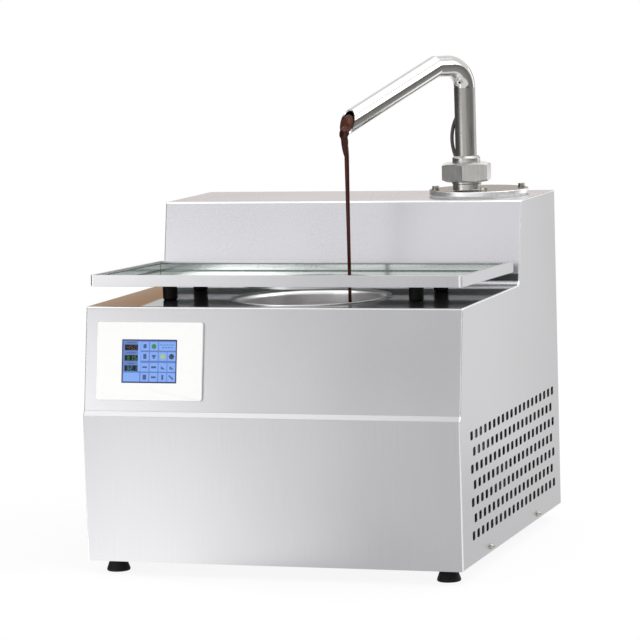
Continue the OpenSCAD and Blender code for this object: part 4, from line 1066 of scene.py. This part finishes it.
# %% Signs on the buttons
DASH_X, DASH_PITCH, DASHES = 15.2, 3.7, 5
signs = [chip(-23.8, y, width, 0.9, 0.2, 1)
         for y, width in ((22.4, 11.0), (10.0, 12.5), (-2.6, 9.0))]
for y, shift, count in ((19.9, 0, DASHES), (16.6, 2.4, DASHES - 1)):
    signs += [chip(DASH_X + shift + DASH_PITCH * k, y, 2.5, 0.8, 0.2, 2) for k in range(count)]
for column, row, width, height in ((0, 0, 4, 5), (0, 1, 4, 6), (0, 2, 6, 2), (1, 2, 6.5, 2.4),
                                   (1, 3, 6, 2.2), (2, 3, 2.4, 6), (0, 3, 4.5, 6)):
    signs.append(chip(COLUMNS[column], ROWS[row], width, height, 0.5, 2))
for x in COLUMNS[2:]:
    signs += [chip(x - 0.6 * k + 0.4, ROWS[2] - 2.1 + 0.9 * k, 5.4 - 1.2 * k, 0.7, 0.1, 2)
              for k in range(4)]
signs += [chip(COLUMNS[3] - 2 + 1.8 * k, ROWS[3] + 1.6 - 1.6 * k, 2.2, 2.0, 0.6, 2) for k in range(3)]


def ring(x, y, radius, turns, size, sides=24):
    """Small round plates on a circle about a button's middle."""
    return [disc_chip(x + radius * cos(a), y + radius * sin(a), size, sides) for a in turns]


signs += ring(COLUMNS[1], ROWS[1], 1.5, (0.5, 2.6, 4.7), 1.3)
display("display_signs", slate, signs)
display("display_lamp_green", green, [disc_chip(COLUMNS[1], ROWS[0] - 0.3, 3.0)])
display("display_lamp_lime", lime, [disc_chip(COLUMNS[2], ROWS[1], 3.1)])
GEAR_R, TOOTH_R, TEETH = 2.9, 0.8, 8
teeth = ring(COLUMNS[3], ROWS[1], GEAR_R, [tau * k / TEETH for k in range(TEETH)], TOOTH_R, 10)
display("display_gear", dark_grey, [disc_chip(COLUMNS[3], ROWS[1], GEAR_R)] + teeth)

# %% [markdown]
# ## Chocolate
# The tank is shown at work: a film of chocolate fills the lower part of the mouth, hangs over its lip
# and falls as a thin stream into the bowl. The film is a few rough volumes, remeshed to one skin and
# smoothed like clay. The stream is turned, and draws up into the film when the spout swings away.

# %% Chocolate finish
WET = {"depth": 0.03, "Specular_IOR_Level": 0.2, "Subsurface_Weight": 0.08}
# Melted milk chocolate: a deep red-brown, with a wet gloss that thin edges lose.
chocolate = finish("melted_chocolate", ("#270e0a", "#3e1811"), (9, 9, 60), (0.14, 0.2), **WET)
# The same chocolate, painted lighter high on the film in the mouth: a painted highlight.
highlight_chocolate = finish("melted_chocolate_painted_highlight", ("#47261b", "#5c3325"), 6, (0.14, 0.2), **WET)
print("Chocolate finishes ready")

# %% Stream
LIP_X, LIP_Z = MOUTH_X + 6.4, MOUTH_Z - 17.3
POOL_Z = Z_DECK - 41.0
STREAM_X = LIP_X - 0.6
DRIFT = radians(0.4)
SOFT_ANGLE = 80
stream_outline = [(0, POOL_Z - LIP_Z), (2.2, POOL_Z - LIP_Z), (2.1, -200), (2.2, -130),
                  (2.6, -70), (2.9, -35), (3.0, -20), (2.2, -10), (0, -6)]
stream = turned("chocolate_stream", stream_outline, (STREAM_X, 0), steps=24)
stream.data.transform(move(STREAM_X, 0, POOL_Z) @ spin(-DRIFT, "Y") @ move(-STREAM_X, 0, LIP_Z - POOL_Z))
finish_with(stream, "SUBSURF", levels=2, render_levels=2)
place(stream, riser_frame)
dress(stream, "spout", "lead_sheath", chocolate, angle=SOFT_ANGLE, flat=False)
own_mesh(stream)


# %% Film in the mouth
def dollop(spot, size, tilt):
    """A rough round volume of chocolate."""
    put_down()
    bpy.ops.mesh.primitive_uv_sphere_add(segments=32, ring_count=16, radius=MM)
    piece = bpy.context.object
    place(piece, move(*spot) @ spin(tilt, "Y") @ Matrix.Diagonal((*size, 1)))
    return piece


DRIP_LEAN = radians(8.8)
SKIN, SMOOTHING = 0.55, 24
HIGHLIGHT_FROM = LIP_Z + 7.0
across_mouth = dollop((MOUTH_X + 1.4, 0, MOUTH_Z - 2.5), (4.6, 10.9, 12.6), -MOUTH_LEAN)
in_pipe = dollop((MOUTH_X - 10, 0, MOUTH_Z + 1.2), (14, 9.6, 7.4), SLOPE)
over_lip = dollop((LIP_X + 1.0, 0, LIP_Z + 4.2), (4.4, 7.8, 8.4), -MOUTH_LEAN)
below_lip = dollop((LIP_X + 0.8, 0.2, LIP_Z - 4.0), (3.8, 5.2, 12.0), DRIP_LEAN)
drip = dollop((LIP_X + 0.9, 0, LIP_Z - 11.0), (3.5, 4.3, 18.0), DRIP_LEAN)
film = join("chocolate_film", [across_mouth, in_pipe, over_lip, below_lip, drip])
finish_with(film, "REMESH", mode="VOXEL", voxel_size=SKIN * MM)
finish_with(film, "SMOOTH", factor=0.5, iterations=SMOOTHING)
place(film, riser_frame)
dress(film, "spout", "lead_sheath", chocolate, angle=SOFT_ANGLE, flat=False)
# Faces high on the film get the lighter chocolate: a painted highlight.
vary(film, [highlight_chocolate], lambda face: face.center.z > HIGHLIGHT_FROM * MM)

# %% Pool in the bowl
RIPPLE, RIPPLE_FADE, RIPPLE_WAVE = 0.5, 30, 5
ripples = [(r, POOL_Z + RIPPLE * exp(-r / RIPPLE_FADE) * cos(r / RIPPLE_WAVE))
           for r in range(72, -1, -6)]
pool_outline = [(0, POOL_Z - 1.5), (BOWL_R - 1.0, POOL_Z - 1.5), (BOWL_R - 0.4, POOL_Z + 0.8),
                (BOWL_R - 2.5, POOL_Z + 0.1), (BOWL_R - 8, POOL_Z), *ripples]
pool = turned("chocolate_pool", pool_outline, (BOWL_X, BOWL_Y))
dress(pool, "casing", "lead_sheath", chocolate, angle=60)

# %% [markdown]
# ## Floor and light
# The photograph has a pure white ground, so floor and world look white to the camera and in reflections,
# while a plain level lights the scene. Near the tank the floor keeps part of its own shading, which
# holds the soft shadow under the feet.

# %% Floor
WHITE = (1, 1, 1, 1)
FLOOR_SIZE = 14
GLOW_SHARE = 0.9
SHADE_FROM, SHADE_TO = 0.4, 0.9


def seen_white(tree):
    """1 for rays from the camera, reflections and glass, and 0 for the rest."""
    seen = add(tree, "LightPath", {}, "Is Camera Ray")
    for kind in ("Is Glossy Ray", "Is Transmission Ray"):
        ray = add(tree, "LightPath", {}, kind)
        seen = add(tree, "Math", {0: seen, 1: ray}, operation="MAXIMUM")
    return seen


put_down()
bpy.ops.mesh.primitive_plane_add(size=FLOOR_SIZE, location=(0, 0, 0))
floor = bpy.context.object
floor.name = "studio_floor"
# White paper: matt, with a faint mottle of fibres.
FIBRE, MATT_ROUGHNESS = 3, 0.9
paper = bpy.data.materials.new("white_paper")
paper.use_nodes = True
tree = paper.node_tree
sheet = tree.nodes["Principled BSDF"]
sheet.inputs["Roughness"].default_value = MATT_ROUGHNESS
mottle = add(tree, "MixRGB", {"Fac": marks(tree, FIBRE), "Color1": linear("#f2f2f2"),
                              "Color2": linear("#f7f7f7")})
tree.links.new(mottle, sheet.inputs["Base Color"])
matt = sheet.outputs[0]
glow = add(tree, "Emission", {"Color": WHITE, "Strength": 1.0})
spot = add(tree, "TexCoord", {}, "Object")
away = add(tree, "VectorMath", {0: spot}, "Value", operation="LENGTH")
far = add(tree, "MapRange", {"Value": away, "From Min": SHADE_FROM, "From Max": SHADE_TO,
                             "To Min": GLOW_SHARE, "To Max": 1.0})
share = add(tree, "Math", {0: seen_white(tree), 1: far}, operation="MULTIPLY")
mixed = add(tree, "MixShader", {"Fac": share, 1: matt, 2: glow})
tree.links.new(mixed, tree.nodes["Material Output"].inputs["Surface"])
floor.data.materials.append(paper)
print("Floor:", FLOOR_SIZE, "m wide")

# %% World and lamps
WORLD_LEVEL = 0.84
world = bpy.data.worlds.new("white_studio")
scene.world = world
world.use_nodes = True
sky = world.node_tree
level = add(sky, "MapRange", {"Value": seen_white(sky), "To Min": WORLD_LEVEL, "To Max": 1.0})
background = sky.nodes["Background"]
background.inputs["Color"].default_value = WHITE
sky.links.new(level, background.inputs["Strength"])


def softbox(name, spot, aim, width, height, watts):
    """A flat lamp that faces a point."""
    put_down()
    bpy.ops.object.light_add(type="AREA", location=spot)
    lamp = bpy.context.object
    lamp.name = name
    lamp.data.shape = "RECTANGLE"
    lamp.data.size = width
    lamp.data.size_y = height
    lamp.data.energy = watts
    lamp.rotation_euler = (Vector(aim) - Vector(spot)).to_track_quat("-Z", "Y").to_euler()


softbox("front_left", (-1.0, -1.6, 0.42), (-0.1, 0.0, 0.3), 0.7, 0.4, 2.1)
softbox("right", (2.2, 0.1, 1.75), (0.1, 0.0, 0.55), 1.8, 1.4, 18)
softbox("top", (0.5, 0.1, 2.5), (0, 0, 0.4), 2.4, 1.6, 16)
softbox("rear_right", (0.95, 1.5, 0.7), (0.24, -0.1, 0.3), 0.5, 0.6, 1.0)
print("Lamps:", len(bpy.data.lights))

# %% [markdown]
# Bare metal needs something to reflect, so cards stand outside the picture, as in a photographer's
# studio. Dark ones give the pipe its bands and the sheets their grey. Bright ones draw the soft
# gradients of the brushed sheet, and a brown one warms the deck and the plate. Only reflections see
# them, so they neither add light nor take it away.


# %% Reflector cards
def card(name, spot, facing, size, low, high, strength=1.0, turn=0.0, blend=(-0.5, 0.5)):
    """A card that shows only in reflections, with a shade at its low and its high edge."""
    put_down()
    bpy.ops.mesh.primitive_plane_add(size=1, location=spot)
    board = bpy.context.object
    board.name = name
    board.scale = (*size, 1)
    turned_by = Matrix.Rotation(radians(turn), 3, "Z")
    board.rotation_euler = (Vector(facing).to_track_quat("Z", "Y").to_matrix() @ turned_by).to_euler()
    board.visible_camera = board.visible_diffuse = board.visible_shadow = False
    felt = bpy.data.materials.new(name + "_felt")
    felt.use_nodes = True
    tree = felt.node_tree
    up = add(tree, "SeparateXYZ", {0: add(tree, "TexCoord", {}, "Object")}, "Y")
    rise = add(tree, "MapRange", {"Value": up, "From Min": blend[0], "From Max": blend[1]})
    shade = add(tree, "MixRGB", {"Fac": rise, "Color1": linear(low), "Color2": linear(high)})
    light = add(tree, "Emission", {"Color": shade, "Strength": strength})
    tree.links.new(light, tree.nodes["Material Output"].inputs["Surface"])
    board.data.materials.append(felt)


card("dark_right", (1.3, 0.3, 0.485), (-0.61, 0, 0.79), (1.3, 1.52), "#a8a7a5", "#5c5b59")
card("dark_band", (1.5, -1.25, 0.62), (-1, 0.3, 0), (2.0, 0.6), "#6a6967", "#6a6967")
card("dark_rear", (0.29, 0.75, 0.58), (0, -1, 0), (0.26, 0.3), "#5a5957", "#4a4947")
card("floor_glow", (-0.333, -0.98, 0.004), (0, 0, 1), (1.5, 0.51), "#b4b4b4", "#ffffff",
     strength=2.1, turn=-110, blend=(-0.41, 0.11))
card("step_glow", (-1.35, -1.1, 2.0), (0.5, 0.4, -0.85), (1.4, 1.6), "#ffffff", "#ffffff", strength=2.35)
card("side_glow", (0.62, 0.6, 0.27), (-0.5, -0.86, 0), (0.38, 0.54), "#ffffff", "#ffffff", strength=1.42)
card("dark_left", (-1.6, 0.3, 0.75), (1, 0, 0), (3.8, 1.5), "#5a5957", "#4c4b4a")
card("brown_rear", (-1.0, 2.4, 0.6), (0.3, -1, 0), (2.6, 0.24), "#bf9a7b", "#b58f70")
scene.view_settings.view_transform = "Standard"
print("Cards stand round the tank")
